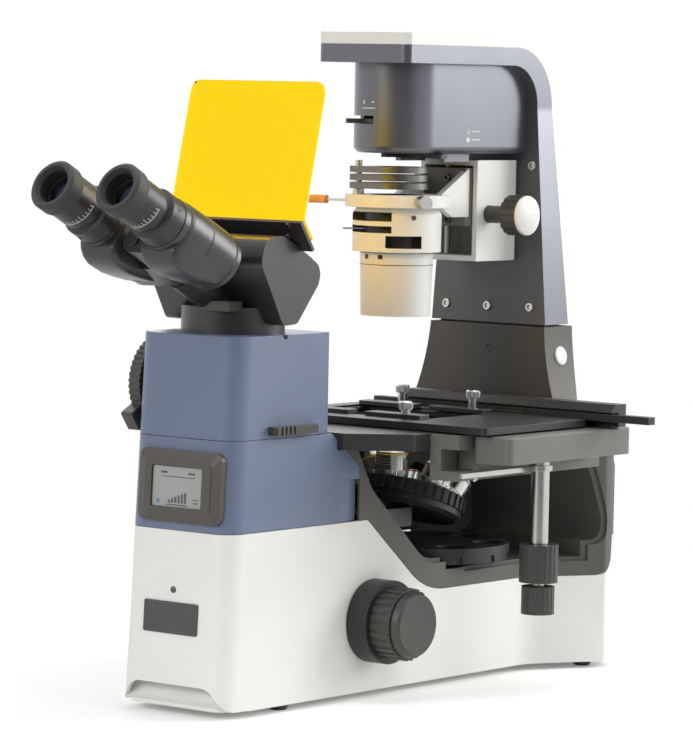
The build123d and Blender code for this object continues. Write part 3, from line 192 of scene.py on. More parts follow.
def makeLamps():
    for name, place, aim, size, watts in lampSet:
        data = bpy.data.lights.new(name, "AREA")
        data.shape = "DISK"
        data.size = size
        data.energy = watts
        lamp = bpy.data.objects.new(name, data)
        lamp.location = place
        lamp.rotation_euler = (Vector(aim) - Vector(place)).to_track_quat("-Z", "Y").to_euler()
        lamp.visible_camera = False
        scene.collection.objects.link(lamp)


makeWorld()
makeFloor()
makeLamps()
print("camera and studio ready")


# materials

shadeStops = (0.3, 0.7)
paintSet = {"cloudMm": 70, "edgeRadius": 0.0005, "rubFrom": 0.82, "rubTo": 0.99, "rubHex": "#F2F0EC",
            "peelDepth": 0.0002, "ior": 1.5, "coatRough": 0.25}
metalSet = {"edgeRadius": 0.0003, "markDepth": 0.0001, "glossLow": 0.8, "glossHigh": 1.25}
# the sheet is thin and mirrors little, so its ior is below that of solid acrylic
acrylicSet = {"hex": "#FFFFFF", "rough": 0.03, "ior": 1.15}
opticSet = {"hexDeep": "#0C0F14", "blend": 0.35, "rough": 0.04, "ior": 1.52, "coat": 0.6}


def paintedFinish(name, hexes, grainMm, peel, rough, spread, coat=0.0, flake=0.0, wear=0.12):
    # paint or moulding: two close shades in slow clouds, orange peel or spark texture, rubbed paler edges
    mat = newMaterial(name)
    place = addNode(mat, "ShaderNodeTexCoord")
    clouds = addNode(mat, "ShaderNodeTexNoise", {"Vector": (place, "Object")},
                     Scale=perMm(paintSet["cloudMm"]), Detail=3.0)
    tint = rampStops(addNode(mat, "ShaderNodeValToRGB", {"Fac": (clouds, "Fac")}),
                     [(stop, linear(code)) for stop, code in zip(shadeStops, hexes)])
    grain = addNode(mat, "ShaderNodeTexNoise", {"Vector": (place, "Object")},
                    Scale=perMm(grainMm), Detail=2.0)
    sheen = addNode(mat, "ShaderNodeMapRange", {"Value": (grain, "Fac")},
                    To_Min=rough - spread, To_Max=rough + spread)
    edge = addNode(mat, "ShaderNodeBevel", samples=4, Radius=paintSet["edgeRadius"])
    form = addNode(mat, "ShaderNodeNewGeometry")
    turned = addNode(mat, "ShaderNodeVectorMath", {0: (edge, "Normal"), 1: (form, "Normal")},
                     operation="DOT_PRODUCT")
    rub = addNode(mat, "ShaderNodeMapRange", {"Value": (turned, "Value")},
                  From_Min=paintSet["rubFrom"], From_Max=paintSet["rubTo"], To_Min=wear, To_Max=0.0)
    worn = addNode(mat, "ShaderNodeMix", {0: (rub, "Result"), 6: (tint, "Color")}, data_type="RGBA")
    worn.inputs[7].default_value = linear(paintSet["rubHex"])
    bump = addNode(mat, "ShaderNodeBump", {"Height": (grain, "Fac"), "Normal": (edge, "Normal")},
                   Strength=peel, Distance=paintSet["peelDepth"])
    skin = addNode(mat, "ShaderNodeBsdfPrincipled",
                   {"Base Color": (worn, 2), "Roughness": (sheen, "Result"), "Normal": (bump, "Normal")},
                   IOR=paintSet["ior"], Metallic=flake,
                   Coat_Weight=coat, Coat_Roughness=paintSet["coatRough"])
    addNode(mat, "ShaderNodeOutputMaterial", {"Surface": (skin, "BSDF")})
    return mat


def metalFinish(name, hexes, rough, stretch, grainMm, strength):
    # bare metal: fine tool marks drawn out along one axis break up the reflection
    mat = newMaterial(name)
    place = addNode(mat, "ShaderNodeTexCoord")
    lay = addNode(mat, "ShaderNodeMapping", {"Vector": (place, "Object")}, Scale=stretch)
    marks = addNode(mat, "ShaderNodeTexNoise", {"Vector": (lay, "Vector")}, Scale=perMm(grainMm), Detail=3.0)
    tint = rampStops(addNode(mat, "ShaderNodeValToRGB", {"Fac": (marks, "Fac")}),
                     [(stop, linear(code)) for stop, code in zip(shadeStops, hexes)])
    gloss = addNode(mat, "ShaderNodeMapRange", {"Value": (marks, "Fac")},
                    To_Min=rough * metalSet["glossLow"], To_Max=rough * metalSet["glossHigh"])
    edge = addNode(mat, "ShaderNodeBevel", samples=4, Radius=metalSet["edgeRadius"])
    bump = addNode(mat, "ShaderNodeBump", {"Height": (marks, "Fac"), "Normal": (edge, "Normal")},
                   Strength=strength, Distance=metalSet["markDepth"])
    skin = addNode(mat, "ShaderNodeBsdfPrincipled", {
        "Base Color": (tint, "Color"), "Roughness": (gloss, "Result"), "Normal": (bump, "Normal")},
        Metallic=1.0)
    addNode(mat, "ShaderNodeOutputMaterial", {"Surface": (skin, "BSDF")})
    return mat


def acrylicFinish(name, hexDeep, density, hexShade):
    # cast amber acrylic: clear, coloured through its depth, so cut edges glow orange and its shade is amber
    mat = newMaterial(name)
    body = addNode(mat, "ShaderNodeBsdfPrincipled", Base_Color=linear(acrylicSet["hex"]),
                   Roughness=acrylicSet["rough"], IOR=acrylicSet["ior"], Transmission_Weight=1.0)
    clear = addNode(mat, "ShaderNodeBsdfTransparent", Color=linear(hexShade))
    path = addNode(mat, "ShaderNodeLightPath")
    mix = addNode(mat, "ShaderNodeMixShader",
                  {"Fac": (path, "Is Shadow Ray"), 1: (body, "BSDF"), 2: (clear, "BSDF")})
    deep = addNode(mat, "ShaderNodeVolumeAbsorption", Color=linear(hexDeep), Density=density)
    addNode(mat, "ShaderNodeOutputMaterial", {"Surface": (mix, "Shader"), "Volume": (deep, "Volume")})
    return mat


def opticFinish(name, hexPaintedGleam):
    # coated crown glass: dark and clear, with a painted reflection: the base colour turns to the coating's
    # blue toward grazing view
    mat = newMaterial(name)
    sheen = addNode(mat, "ShaderNodeLayerWeight", Blend=opticSet["blend"])
    tint = rampStops(addNode(mat, "ShaderNodeValToRGB", {"Fac": (sheen, "Facing")}),
                     [(0.0, linear(opticSet["hexDeep"])), (1.0, linear(hexPaintedGleam))])
    skin = addNode(mat, "ShaderNodeBsdfPrincipled", {"Base Color": (tint, "Color")},
                   Roughness=opticSet["rough"], IOR=opticSet["ior"], Coat_Weight=opticSet["coat"])
    addNode(mat, "ShaderNodeOutputMaterial", {"Surface": (skin, "BSDF")})
    return mat


# casing and column: powder coat that shades softly, lacquers with a satin sheen, the arm's with metal flake
whiteCoat = paintedFinish("powder coat, warm white", ("#E6E6E0", "#EBEBE6"), 0.8, 0.10, 0.42, 0.05)
slateCoat = paintedFinish("satin lacquer, slate blue", ("#647089", "#69758D"), 0.7, 0.08, 0.40, 0.05, 0.05)
armCoat = paintedFinish("metallic lacquer, slate grey", ("#63656C", "#6A6C73"),
                        0.7, 0.08, 0.30, 0.05, 0.2, 0.60)
# graphite: the arm's lacquer darkened, painted shade for the column's front faces
shadedArmCoat = paintedFinish("satin lacquer, graphite as painted shade", ("#4F5052", "#555658"), 0.7, 0.08, 0.40, 0.05, 0.1)
# valley and pedestal: rough dark skins that swallow light; head: smoother black that takes long highlights
linerAbs = paintedFinish("moulded ABS, spark-eroded dark grey", ("#504F4B", "#585753"), 1.1, 0.30, 0.55, 0.06)
pedestalCoat = paintedFinish("textured enamel, charcoal", ("#403E39", "#474540"), 1.2, 0.30, 0.52, 0.06)
headCoat = paintedFinish("satin enamel, black", ("#2B2A29", "#323130"), 0.6, 0.08, 0.36, 0.05, 0.2)
# stage and mounts: dry anodised sheen, the stage top a little glossier, so it mirrors what stands on it
blackAnodised = paintedFinish("anodised aluminium, matt black", ("#201F1E", "#272625"), 0.5, 0.06, 0.42, 0.05)
stageGrey = paintedFinish("anodised aluminium, dark grey", ("#686661", "#706E69"), 0.5, 0.06, 0.40, 0.05)
stageTop = paintedFinish("anodised aluminium, stage black", ("#33322F", "#3A3936"), 0.5, 0.06, 0.30, 0.05)
# knobs, cups and bezel: plastics with a broad soft sheen, the rubber dullest
knobPlastic = paintedFinish("moulded nylon, black", ("#383734", "#403F3C"), 0.7, 0.12, 0.42, 0.06)
softRubber = paintedFinish("moulded rubber, black", ("#30302F", "#383837"), 0.9, 0.25, 0.62, 0.06, wear=0.04)
bezelAbs = paintedFinish("moulded ABS, warm dark grey", ("#48443F", "#4D4944"), 0.8, 0.12, 0.40, 0.05)
# plate, inks and display: thin smooth layers, the plate and display glossy, the inks flat and even
plateGloss = paintedFinish("printed aluminium, gloss black", ("#343330", "#393835"),
                           0.5, 0.03, 0.28, 0.03, 0.4)
inkWhite = paintedFinish("screen-printed ink, white", ("#DAD9D4", "#E4E3DE"), 0.4, 0.05, 0.50, 0.04, wear=0.0)
inkGrey = paintedFinish("screen-printed ink, grey", ("#8B8A85", "#93928D"), 0.4, 0.05, 0.50, 0.04, wear=0.0)
lcdFace = paintedFinish("reflective display, silver grey", ("#989996", "#A0A19E"),
                        0.3, 0.02, 0.24, 0.03, 0.3, wear=0.0)
lcdMark = paintedFinish("display segment, dark", ("#4E504E", "#545654"), 0.3, 0.02, 0.30, 0.03, wear=0.0)
lcdBlue = paintedFinish("indicator lens, blue", ("#3E6EB4", "#4678BE"), 0.3, 0.02, 0.22, 0.03, 0.5, wear=0.0)
# caps and grip: bright plastics with a waxy highlight; the grip's orange is painted light, the shield's amber
# light on a pale grip
capNylon = paintedFinish("moulded nylon, white", ("#E2E1DB", "#E9E8E3"), 0.6, 0.08, 0.36, 0.05, 0.2)
gripAmberLight = paintedFinish("moulded acetal, orange as painted amber light", ("#F29A16", "#F8A624"), 0.6, 0.06, 0.34, 0.05, 0.3)
# bare metals: bright drawn-out streaks on steel and chrome, duller discs and screws, a clean mirror
brushedSteel = metalFinish("turned stainless steel", ("#C2C0BC", "#CECCC8"),
                           0.22, (1.0, 1.0, 0.05), 0.4, 0.06)
chromeBarrel = metalFinish("satin chrome plate", ("#BEBCB8", "#D8D6D2"), 0.20, (1.0, 1.0, 0.1), 0.5, 0.10)
discSilver = metalFinish("satin anodised aluminium, graphite", ("#6A6966", "#7A7976"),
                         0.36, (1.0, 1.0, 0.2), 0.5, 0.10)
darkScrew = metalFinish("blackened steel", ("#5A5957", "#6A6967"), 0.38, (1.0, 1.0, 1.0), 0.5, 0.10)
mirrorGlass = metalFinish("front-silvered glass", ("#D6D8DA", "#E2E4E6"), 0.05, (1.0, 1.0, 1.0), 2.0, 0.02)
# clear parts: the amber shield, and the eye lenses with a painted bluish reflection
amberAcrylic = acrylicFinish("cast acrylic, clear amber", "#FFF600", 1350.0, "#FFDA58")
eyeGlass = opticFinish("coated crown glass", "#5A6F96")
# enamel bands: glossy thin colour round the objectives
bandHexes = {"yellow": ("#D9B62C", "#E0BE34"), "green": ("#3C8A4C", "#429252"),
             "blue": ("#3B74B4", "#417CBC"), "red": ("#B6402E", "#BE4636")}
bandInk = {word: paintedFinish("enamel band, " + word, hexes, 0.4, 0.04, 0.36, 0.04, 0.3, wear=0.0)
           for word, hexes in bandHexes.items()}

finishOf = {
    whiteCoat: ["base_casing", "base_plate", "column_cover", "slide_housing", "condenser_carrier",
                "condenser_body", "condenser_barrel"],
    slateCoat: ["front_tower", "upper_block"],
    armCoat: ["column_arm", "lamp_housing"],
    linerAbs: ["valley_liner", "rear_panel"],
    pedestalCoat: ["column_base"],
    headCoat: ["head_mount_ring", "binocular_body", "tube_arm_left", "tube_arm_right", "shield_bracket",
               "focus_guide", "nosepiece_bracket"],
    blackAnodised: ["stage_rail", "specimen_holder", "holder_rack", "holder_jaws", "nosepiece_turret",
                    "filter_turret", "eyepiece_left", "eyepiece_right", "shutter_slide", "tension_ring"],
    stageGrey: ["stage_carriage", "stage_guide", "lamp_module"],
    stageTop: ["stage_plate"],
    knobPlastic: ["coarse_knobs", "fine_knobs", "y_drive_knob", "x_drive_knob", "condenser_knob",
                  "selector_wheel", "path_slider", "power_inlet", "field_lever"],
    bezelAbs: ["display_bezel"],
    brushedSteel: ["drive_column", "holder_screws", "guide_rods", "focus_shaft", "aperture_lever",
                   "condenser_clamp_screw"],
    discSilver: ["filter_holder_lower", "filter_holder_middle", "filter_holder_upper"],
    chromeBarrel: ["objectives"],
    amberAcrylic: ["emission_shield"],
    softRubber: ["rubber_feet", "eyecup_left", "eyecup_right"],
    mirrorGlass: ["fold_mirror"],
}

for mat, names in finishOf.items():
    for name in names:
        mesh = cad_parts[name].data
        mesh.materials.clear()
        mesh.materials.append(mat)


def partFinish(name, mat, chosen):
    # a second finish on the faces of one node that the test picks, by their middle and normal in mm
    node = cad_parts[name]
    mesh = node.data
    mesh.materials.append(mat)
    slot = len(mesh.materials) - 1
    for face in mesh.polygons:
        middle = node.matrix_world @ face.center * 1000.0
        normal = node.matrix_world.to_3x3() @ face.normal
        if chosen(middle, normal):
            face.material_index = slot


condenserSet = {"bodyRadius": 32.0, "bodyLow": 318.5, "bodyHigh": 345.0, "plateFront": 50.0, "ringTop": 358.0}
armFaceSet = {"facing": -0.7, "behind": 100.0}

partFinish("condenser_body", blackAnodised, lambda p, n: (
    math.hypot(p.x, p.y) < condenserSet["bodyRadius"]
    and condenserSet["bodyLow"] < p.z < condenserSet["bodyHigh"]))
# painted shade: the slider plate is white paint in shadow, given the dark grey anodised finish
partFinish("condenser_carrier", stageGrey, lambda p, n: p.y > condenserSet["plateFront"])
partFinish("condenser_carrier", brushedSteel, lambda p, n: p.z > condenserSet["ringTop"] and p.y < 0)
# painted shade: the column's front faces take the darker copy of the arm's lacquer
partFinish("column_arm", shadedArmCoat, lambda p, n: n.y < armFaceSet["facing"] and p.y > armFaceSet["behind"])
print("finishes on", sum(len(names) for names in finishOf.values()), "nodes")


# mesh helpers for the small pieces, in millimetres

toRight, toLeft = (1, 0, 0), (-1, 0, 0)
toRear, toFront = (0, 1, 0), (0, -1, 0)
upward, downward = (0, 0, 1), (0, 0, -1)
atOrigin = Matrix.Identity(4)


def roundRing(radius, height, count=24):
    turn = 2.0 * math.pi / count
    return [(radius * math.cos(turn * i), radius * math.sin(turn * i), height) for i in range(count)]


def hexRing(radius, height, count=24):
    # the same count of points drawn along a hexagon, for a socket or a nut
    turn = 2.0 * math.pi / count
    out = []
    for i in range(count):
        angle = turn * i
        reach = radius * math.cos(math.pi / 6) / math.cos((angle % (math.pi / 3)) - math.pi / 6)
        out.append((reach * math.cos(angle), reach * math.sin(angle), height))
    return out


def gearRing(radius, tooth, height, teeth):
    # a knurl: outer and inner points in turn
    turn = math.pi / teeth
    out = []
    for i in range(teeth * 2):
        reach = radius - tooth * (i % 2)
        out.append((reach * math.cos(turn * i), reach * math.sin(turn * i), height))
    return out


def plateRing(wide, high, corner, height, steps=5):
    out = []
    for quarter, (sx, sy) in enumerate(((1, 1), (-1, 1), (-1, -1), (1, -1))):
        for i in range(steps + 1):
            angle = math.pi / 2 * (quarter + i / steps)
            out.append((sx * (wide / 2 - corner) + corner * math.cos(angle),
                        sy * (high / 2 - corner) + corner * math.sin(angle), height))
    return out


def hullRing(circles, height, count=48):
    # the tight band round a few circles, as points in equal steps of direction
    out = []
    for i in range(count):
        angle = 2.0 * math.pi * i / count
        c, s = math.cos(angle), math.sin(angle)
        x, y, r = max(circles, key=lambda o: o[0] * c + o[1] * s + o[2])
        out.append((x + r * c, y + r * s, height))
    return out


def loftRings(bm, rings, place, slot=0, capped=True):
    # skins rings of equal count in order and caps both ends; capped=False joins last to first, for a hoop
    rows = [[bm.verts.new(place @ mm(*p)) for p in ring] for ring in rings]
    made = []
    pairs = list(zip(rows, rows[1:]))
    if not capped:
        pairs.append((rows[-1], rows[0]))
    for low, high in pairs:
        for i in range(len(low)):
            j = (i + 1) % len(low)
            made.append(bm.faces.new((low[i], low[j], high[j], high[i])))
    if capped:
        made.append(bm.faces.new(rows[0][::-1]))
        made.append(bm.faces.new(rows[-1]))
    for face in made:
        face.material_index = slot
        face.smooth = True


def turnedForm(bm, profile, place, slot=0, count=24, capped=True):
    # a turned shape from pairs of radius and height
    loftRings(bm, [roundRing(radius, height, count) for radius, height in profile], place, slot, capped)


def steppedPlate(bm, wide, high, steps, place, slot=0):
    # a plate from rows of inset, corner radius and height
    loftRings(bm, [plateRing(wide - inset, high - inset, corner, height) for inset, corner, height in steps],
              place, slot)


def knurledBand(bm, radius, low, high, values, place, slot=0):
    # a knurled hoop on a round of this radius
    root, proud, bevel = radius - values["sunk"], radius + values["proud"], values["bevel"]
    teeth, tooth = values["teeth"], values["tooth"]
    loftRings(bm, [roundRing(root, low, teeth * 2), gearRing(proud, tooth, low + bevel, teeth),
                   gearRing(proud, tooth, high - bevel, teeth), roundRing(root, high, teeth * 2)],
              place, slot, False)


def arcStrip(bm, radius, fromDeg, toDeg, low, high, place, slot=0, thick=0.12, steps=10, sunk=0.05):
    # a printed line that follows a turned surface
    rings = []
    inner, outer = radius - sunk, radius + thick
    for i in range(steps + 1):
        angle = math.radians(fromDeg + (toDeg - fromDeg) * i / steps)
        c, s = math.cos(angle), math.sin(angle)
        rings.append([(inner * c, inner * s, low), (outer * c, outer * s, low), (outer * c, outer * s, high),
                      (inner * c, inner * s, high)])
    loftRings(bm, rings, place, slot)


def seat(origin, normal, up=upward):
    # a place whose Z is the normal and whose Y is as near to up as it can be
    z = Vector(normal).normalized()
    x = Vector(up).cross(z)
    if x.length < 0.001:
        x = Vector(toRight).cross(z)
    x.normalize()
    y = z.cross(x)
    return Matrix.Translation(mm(*origin)) @ Matrix((x, y, z)).transposed().to_4x4()


def seatOn(nodeName, start, along):
    # the place where a line from start first meets one node
    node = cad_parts[nodeName]
    points = [node.matrix_world @ v.co for v in node.data.vertices]
    tree = BVHTree.FromPolygons(points, [list(face.vertices) for face in node.data.polygons])
    hit, normal = tree.ray_cast(mm(*start), Vector(along).normalized())[:2]
    if hit is None:
        raise ValueError("no surface of " + nodeName + " there")
    if normal.dot(Vector(along)) > 0:
        normal = -normal
    return seat(hit * 1000.0, normal)


def addPiece(name, bm, finishes, body):
    bmesh.ops.recalc_face_normals(bm, faces=bm.faces)
    mesh = bpy.data.meshes.new(name)
    bm.to_mesh(mesh)
    bm.free()
    mesh.set_sharp_from_angle(angle=math.radians(35))
    for mat in finishes:
        mesh.materials.append(mat)
    obj = bpy.data.objects.new(name, mesh)
    scene.collection.objects.link(obj)
    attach(obj, body)


# a cap screw head: depth in mm under its seat, the rest as shares of its radius and height
socketSet = {"sunk": 0.4, "wall": 0.7, "rim": 0.86, "mouth": 0.56, "foot": 0.54, "footAt": 0.15}


def socketHead(bm, place, radius, height):
    # chamfered rim and a hexagon socket
    loftRings(bm, [roundRing(radius, -socketSet["sunk"]), roundRing(radius, height * socketSet["wall"]),
                   roundRing(radius * socketSet["rim"], height), hexRing(radius * socketSet["mouth"], height),
                   hexRing(radius * socketSet["foot"], height * socketSet["footAt"])], place)


def screwHeads(bm, nodeName, values, along):
    # cap screws on one node, found from in front of it or behind it
    for x, z in values["at"]:
        socketHead(bm, seatOn(nodeName, (x, values["fromY"], z), along), values["radius"], values["high"])


def roundedSlab(bm, place, wide, high, corner, thick, slot=0, sunk=0.2, edge=0.3):
    loftRings(bm, [plateRing(wide, high, corner, -sunk), plateRing(wide, high, corner, thick - edge),
                   plateRing(wide - 2 * edge, high - 2 * edge, max(corner - edge, 0.05), thick)], place, slot)


# tower and casing front

frontSet = {"foot": -246.6, "footZ": 4.5, "lean": math.radians(2.85)}
displaySet = {"x": 1.5, "z": 157.9, "lift": 3.4, "wide": 45.6, "high": 28.6, "corner": 1.2, "thick": 0.3,
              "bars": 6, "barFrom": -7.0, "barStep": 2.9, "barFoot": -11.0, "barWide": 1.9, "barLow": 2.0,
              "barRise": 1.1, "barCorner": 0.3, "lineCorner": 0.2,
              # middle, width and height of each plain line
              "lines": ((0.3, -12.4, 19.0, 0.7), (17.0, -8.0, 4.4, 0.8), (17.0, -10.2, 4.4, 0.8),
                        (0.3, 7.0, 30.0, 0.5), (-12.5, 9.8, 6.0, 1.5), (12.5, 9.8, 6.0, 1.5)),
              "markThick": 0.12, "markSunk": 0.05, "markEdge": 0.04,
              "lamp": (-17.2, -10.2), "lampForm": ((1.5, -0.05), (1.4, 0.2), (0.9, 0.5))}
plateSet = {"x": -1.7, "z": 67.2, "wide": 49.2, "high": 22.2,
            "steps": ((0.0, 1.4, -0.3), (0.0, 1.4, 0.8), (0.6, 1.1, 1.0), (1.8, 0.8, 1.0), (2.2, 0.7, 0.75))}
receiverSet = {"x": -0.7, "z": 86.7, "collar": ((2.5, -0.3), (2.5, 0.25), (2.2, 0.4), (1.9, 0.4), (1.8, 0.1)),
               "window": ((1.75, 0.05), (1.3, 0.35), (0.5, 0.5))}
archSet = {"half": 43.0, "steps": 12,
           "section": ((-242.0, 8.05), (-239.5, 10.0), (-236.0, 18.0), (-235.0, 25.0),
                       (-233.8, 25.0), (-234.8, 18.4), (-238.3, 10.6), (-240.8, 8.05))}


def frontPlace(x, z, lift=0.0):
    # a place on the leaning front plane, X to the user's right and Y up the slope
    lean = frontSet["lean"]
    y = frontSet["foot"] + (z - frontSet["footZ"]) * math.tan(lean)
    normal = Vector((0.0, -math.cos(lean), math.sin(lean)))
    origin = Vector((x, y, z)) + normal * lift
    return seat(origin, normal)


def makeFront():
    # display glass: a silver grey panel with plain level bars, plain lines and an indicator
    bm = bmesh.new()
    glass = frontPlace(displaySet["x"], displaySet["z"], displaySet["lift"])
    thick = displaySet["thick"]
    roundedSlab(bm, glass, displaySet["wide"], displaySet["high"], displaySet["corner"], thick)
    marks = []
    for i in range(displaySet["bars"]):
        tall = displaySet["barLow"] + displaySet["barRise"] * i
        marks.append((displaySet["barFrom"] + displaySet["barStep"] * i, displaySet["barFoot"] + tall / 2,
                      displaySet["barWide"], tall, displaySet["barCorner"]))
    marks += [(*line, displaySet["lineCorner"]) for line in displaySet["lines"]]
    for x, y, wide, high, corner in marks:
        roundedSlab(bm, glass @ Matrix.Translation(mm(x, y, thick)), wide, high, corner,
                    displaySet["markThick"], 1, displaySet["markSunk"], displaySet["markEdge"])
    lamp = glass @ Matrix.Translation(mm(*displaySet["lamp"], thick))
    turnedForm(bm, displaySet["lampForm"], lamp, 2)
    addPiece("display_glass", bm, [lcdFace, lcdMark, lcdBlue], "frame")

    # bare plate with a turned-up rim
    bm = bmesh.new()
    steppedPlate(bm, plateSet["wide"], plateSet["high"], plateSet["steps"],
                 frontPlace(plateSet["x"], plateSet["z"]))
    addPiece("front_plate", bm, [plateGloss], "frame")

    # receiver window in a thin collar
    bm = bmesh.new()
    eye = frontPlace(receiverSet["x"], receiverSet["z"])
    turnedForm(bm, receiverSet["collar"], eye)
    turnedForm(bm, receiverSet["window"], eye, 1)
    addPiece("front_receiver", bm, [discSilver, eyeGlass], "frame")


def makeSkirt():
    # sloping white apron behind the front arch, so that light floor tones show under the casing
    bm = bmesh.new()
    rings = []
    half = archSet["half"]
    for i in range(archSet["steps"] + 1):
        x = -half + 2 * half * i / archSet["steps"]
        rings.append([(x, y, z) for y, z in archSet["section"]])
    loftRings(bm, rings, atOrigin)
    addPiece("arch_apron", bm, [whiteCoat], "frame")


makeFront()
makeSkirt()
print("front pieces ready")


# column, pedestal and lamp

columnScrewSet = {"at": ((-39.5, 272.4), (-0.6, 272.4), (39.1, 272.9), (38.5, 379.1)), "fromY": 60.0,
                  "radius": 3.6, "high": 1.6}
plugSet = {"from": (2.4, 60.0, 240.7), "form": ((3.2, -0.3), (3.2, 0.25), (2.6, 0.3), (2.3, 0.1))}
capSet = {"from": (140.0, 131.0, 236.5),
          "form": ((7.2, -0.5), (7.2, 0.8), (6.48, 1.5), (3.6, 1.9), (0.72, 2.0))}
lampMarkSet = {"radius": 33.0,
               # first and last degree, low and high end of each printed strip
               "strips": ((-106.0, -84.0, 420.2, 421.0), (-104.5, -101.5, 423.6, 426.4),
                          (-89.0, -86.0, 424.4, 425.6)),
               # height and inner radius of each sign
               "signs": ((404.5, 1.2), (398.3, 0.2)), "fromX": 90.0, "signY": 40.5, "signRadius": 2.0,
               "lineY": 50.0, "lineWide": 11.0, "lineHigh": 0.8, "lineCorner": 0.3, "lineEdge": 0.04,
               "thick": 0.12, "sunk": 0.1}


def makeColumn():
    bm = bmesh.new()
    screwHeads(bm, "column_arm", columnScrewSet, toRear)
    addPiece("column_screws", bm, [brushedSteel], "frame")

    # plug of the grease hole and the white blanking cap of the pedestal
    bm = bmesh.new()
    turnedForm(bm, plugSet["form"], seatOn("column_base", plugSet["from"], toRear))
    addPiece("pedestal_plug", bm, [blackAnodised], "frame")
    bm = bmesh.new()
    turnedForm(bm, capSet["form"], seatOn("column_base", capSet["from"], toLeft))
    addPiece("pedestal_cap", bm, [capNylon], "frame")

    # printed index of the field stop, and plain open and closed signs of the shutter
    bm = bmesh.new()
    for strip in lampMarkSet["strips"]:
        arcStrip(bm, lampMarkSet["radius"], *strip, atOrigin)
    outer, thick, sunk = lampMarkSet["signRadius"], lampMarkSet["thick"], lampMarkSet["sunk"]
    for z, inner in lampMarkSet["signs"]:
        sign = seatOn("lamp_housing", (lampMarkSet["fromX"], lampMarkSet["signY"], z), toLeft)
        turnedForm(bm, ((outer, -sunk), (outer, thick), (inner, thick), (inner, -sunk)), sign, capped=False)
        line = seatOn("lamp_housing", (lampMarkSet["fromX"], lampMarkSet["lineY"], z), toLeft)
        roundedSlab(bm, line, lampMarkSet["lineWide"], lampMarkSet["lineHigh"], lampMarkSet["lineCorner"],
                    thick, 0, sunk, lampMarkSet["lineEdge"])
    addPiece("lamp_marks", bm, [inkWhite], "frame")


makeColumn()
print("column and lamp pieces ready")


# condenser

carrierScrewSet = {"at": ((4.8, 369.9), (5.6, 338.6)), "fromY": 42.0, "radius": 3.0, "high": 1.8}
setScrewSet = {"place": (28.2, -16.5, 341.5), "radius": 1.9, "high": 0.5}
barrelSet = {"radius": 27.0, "notches": (-106.0, -78.0), "notchHalf": 4.0, "notchZ": (310.8, 314.0),
             "notchThick": 0.15, "lines": (306.5, 315.2), "lineRadius": 26.8, "lineCount": 64,
             "lineForm": ((-0.5, -0.3), (0.25, -0.25), (0.25, 0.25), (-0.5, 0.3))}
handleSet = {"from": (-36.0, -10.0, 352.4), "rodTo": -58.0, "gripTo": -76.7, "rodRadius": 1.2,
             "rodInGrip": 1.0, "gripRadius": 3.2, "gripStart": 2.2, "gripEnd": 2.4, "bevel": 0.8,
             "grooves": 5, "pitch": 3.0,
             # change of radius and way along the grip
             "groove": ((0.0, 0.0), (-0.3, 0.3), (-0.3, 0.9), (0.0, 1.2))}
driveKnobSet = {"end": (65.0, 77.0, 343.0), "count": 48,
                "form": ((14.7, -4.2), (14.8, -3.0), (14.2, -1.9), (11.52, -0.7), (7.2, 0.25), (2.16, 0.5))}


def makeCondenser():
    bm = bmesh.new()
    screwHeads(bm, "condenser_carrier", carrierScrewSet, toRear)
    x, y, z = setScrewSet["place"]
    socketHead(bm, seat((x, y, z), (x, y, 0.0)), setScrewSet["radius"], setScrewSet["high"])
    addPiece("condenser_screws", bm, [darkScrew], "condenser")

    # black index notches, and the two turned lines around the barrel
    bm = bmesh.new()
    for angle in barrelSet["notches"]:
        arcStrip(bm, barrelSet["radius"], angle - barrelSet["notchHalf"], angle + barrelSet["notchHalf"],
                 *barrelSet["notchZ"], atOrigin, 0, barrelSet["notchThick"])
    for z in barrelSet["lines"]:
        profile = [(barrelSet["lineRadius"] + out, z + rise) for out, rise in barrelSet["lineForm"]]
        turnedForm(bm, profile, atOrigin, 1, barrelSet["lineCount"], False)
    addPiece("barrel_marks", bm, [blackAnodised, discSilver], "condenser")

    # centring handle: thin rod with a ribbed grip, its orange painted light from the amber shield
    bm = bmesh.new()
    rod = seat(handleSet["from"], toLeft)
    reach = handleSet["from"][0] - handleSet["rodTo"]
    full = handleSet["from"][0] - handleSet["gripTo"]
    radius = handleSet["gripRadius"]
    thin = handleSet["rodRadius"]
    turnedForm(bm, ((thin, 0.0), (thin, reach + handleSet["rodInGrip"])), rod)
    profile = [(handleSet["gripStart"], reach), (radius, reach + handleSet["bevel"])]
    for i in range(handleSet["grooves"]):
        at = reach + handleSet["pitch"] * (i + 1)
        profile += [(radius + out, at + step) for out, step in handleSet["groove"]]
    profile += [(radius, full - handleSet["bevel"]), (handleSet["gripEnd"], full)]
    turnedForm(bm, profile, rod, 1)
    addPiece("centring_handle", bm, [brushedSteel, gripAmberLight], "condenser")

    # white domed cap on the drive knob
    bm = bmesh.new()
    turnedForm(bm, driveKnobSet["form"], seat(driveKnobSet["end"], toRight), 0, driveKnobSet["count"])
    addPiece("drive_knob_cap", bm, [capNylon], "condenser_drive")


makeCondenser()
print("condenser pieces ready")


# head: eye lenses, scales, prism boxes, screws and key

headSet = {"spread": 29.5, "rearY": -229.0, "rearZ": 310.0, "tilt": math.radians(27.0)}
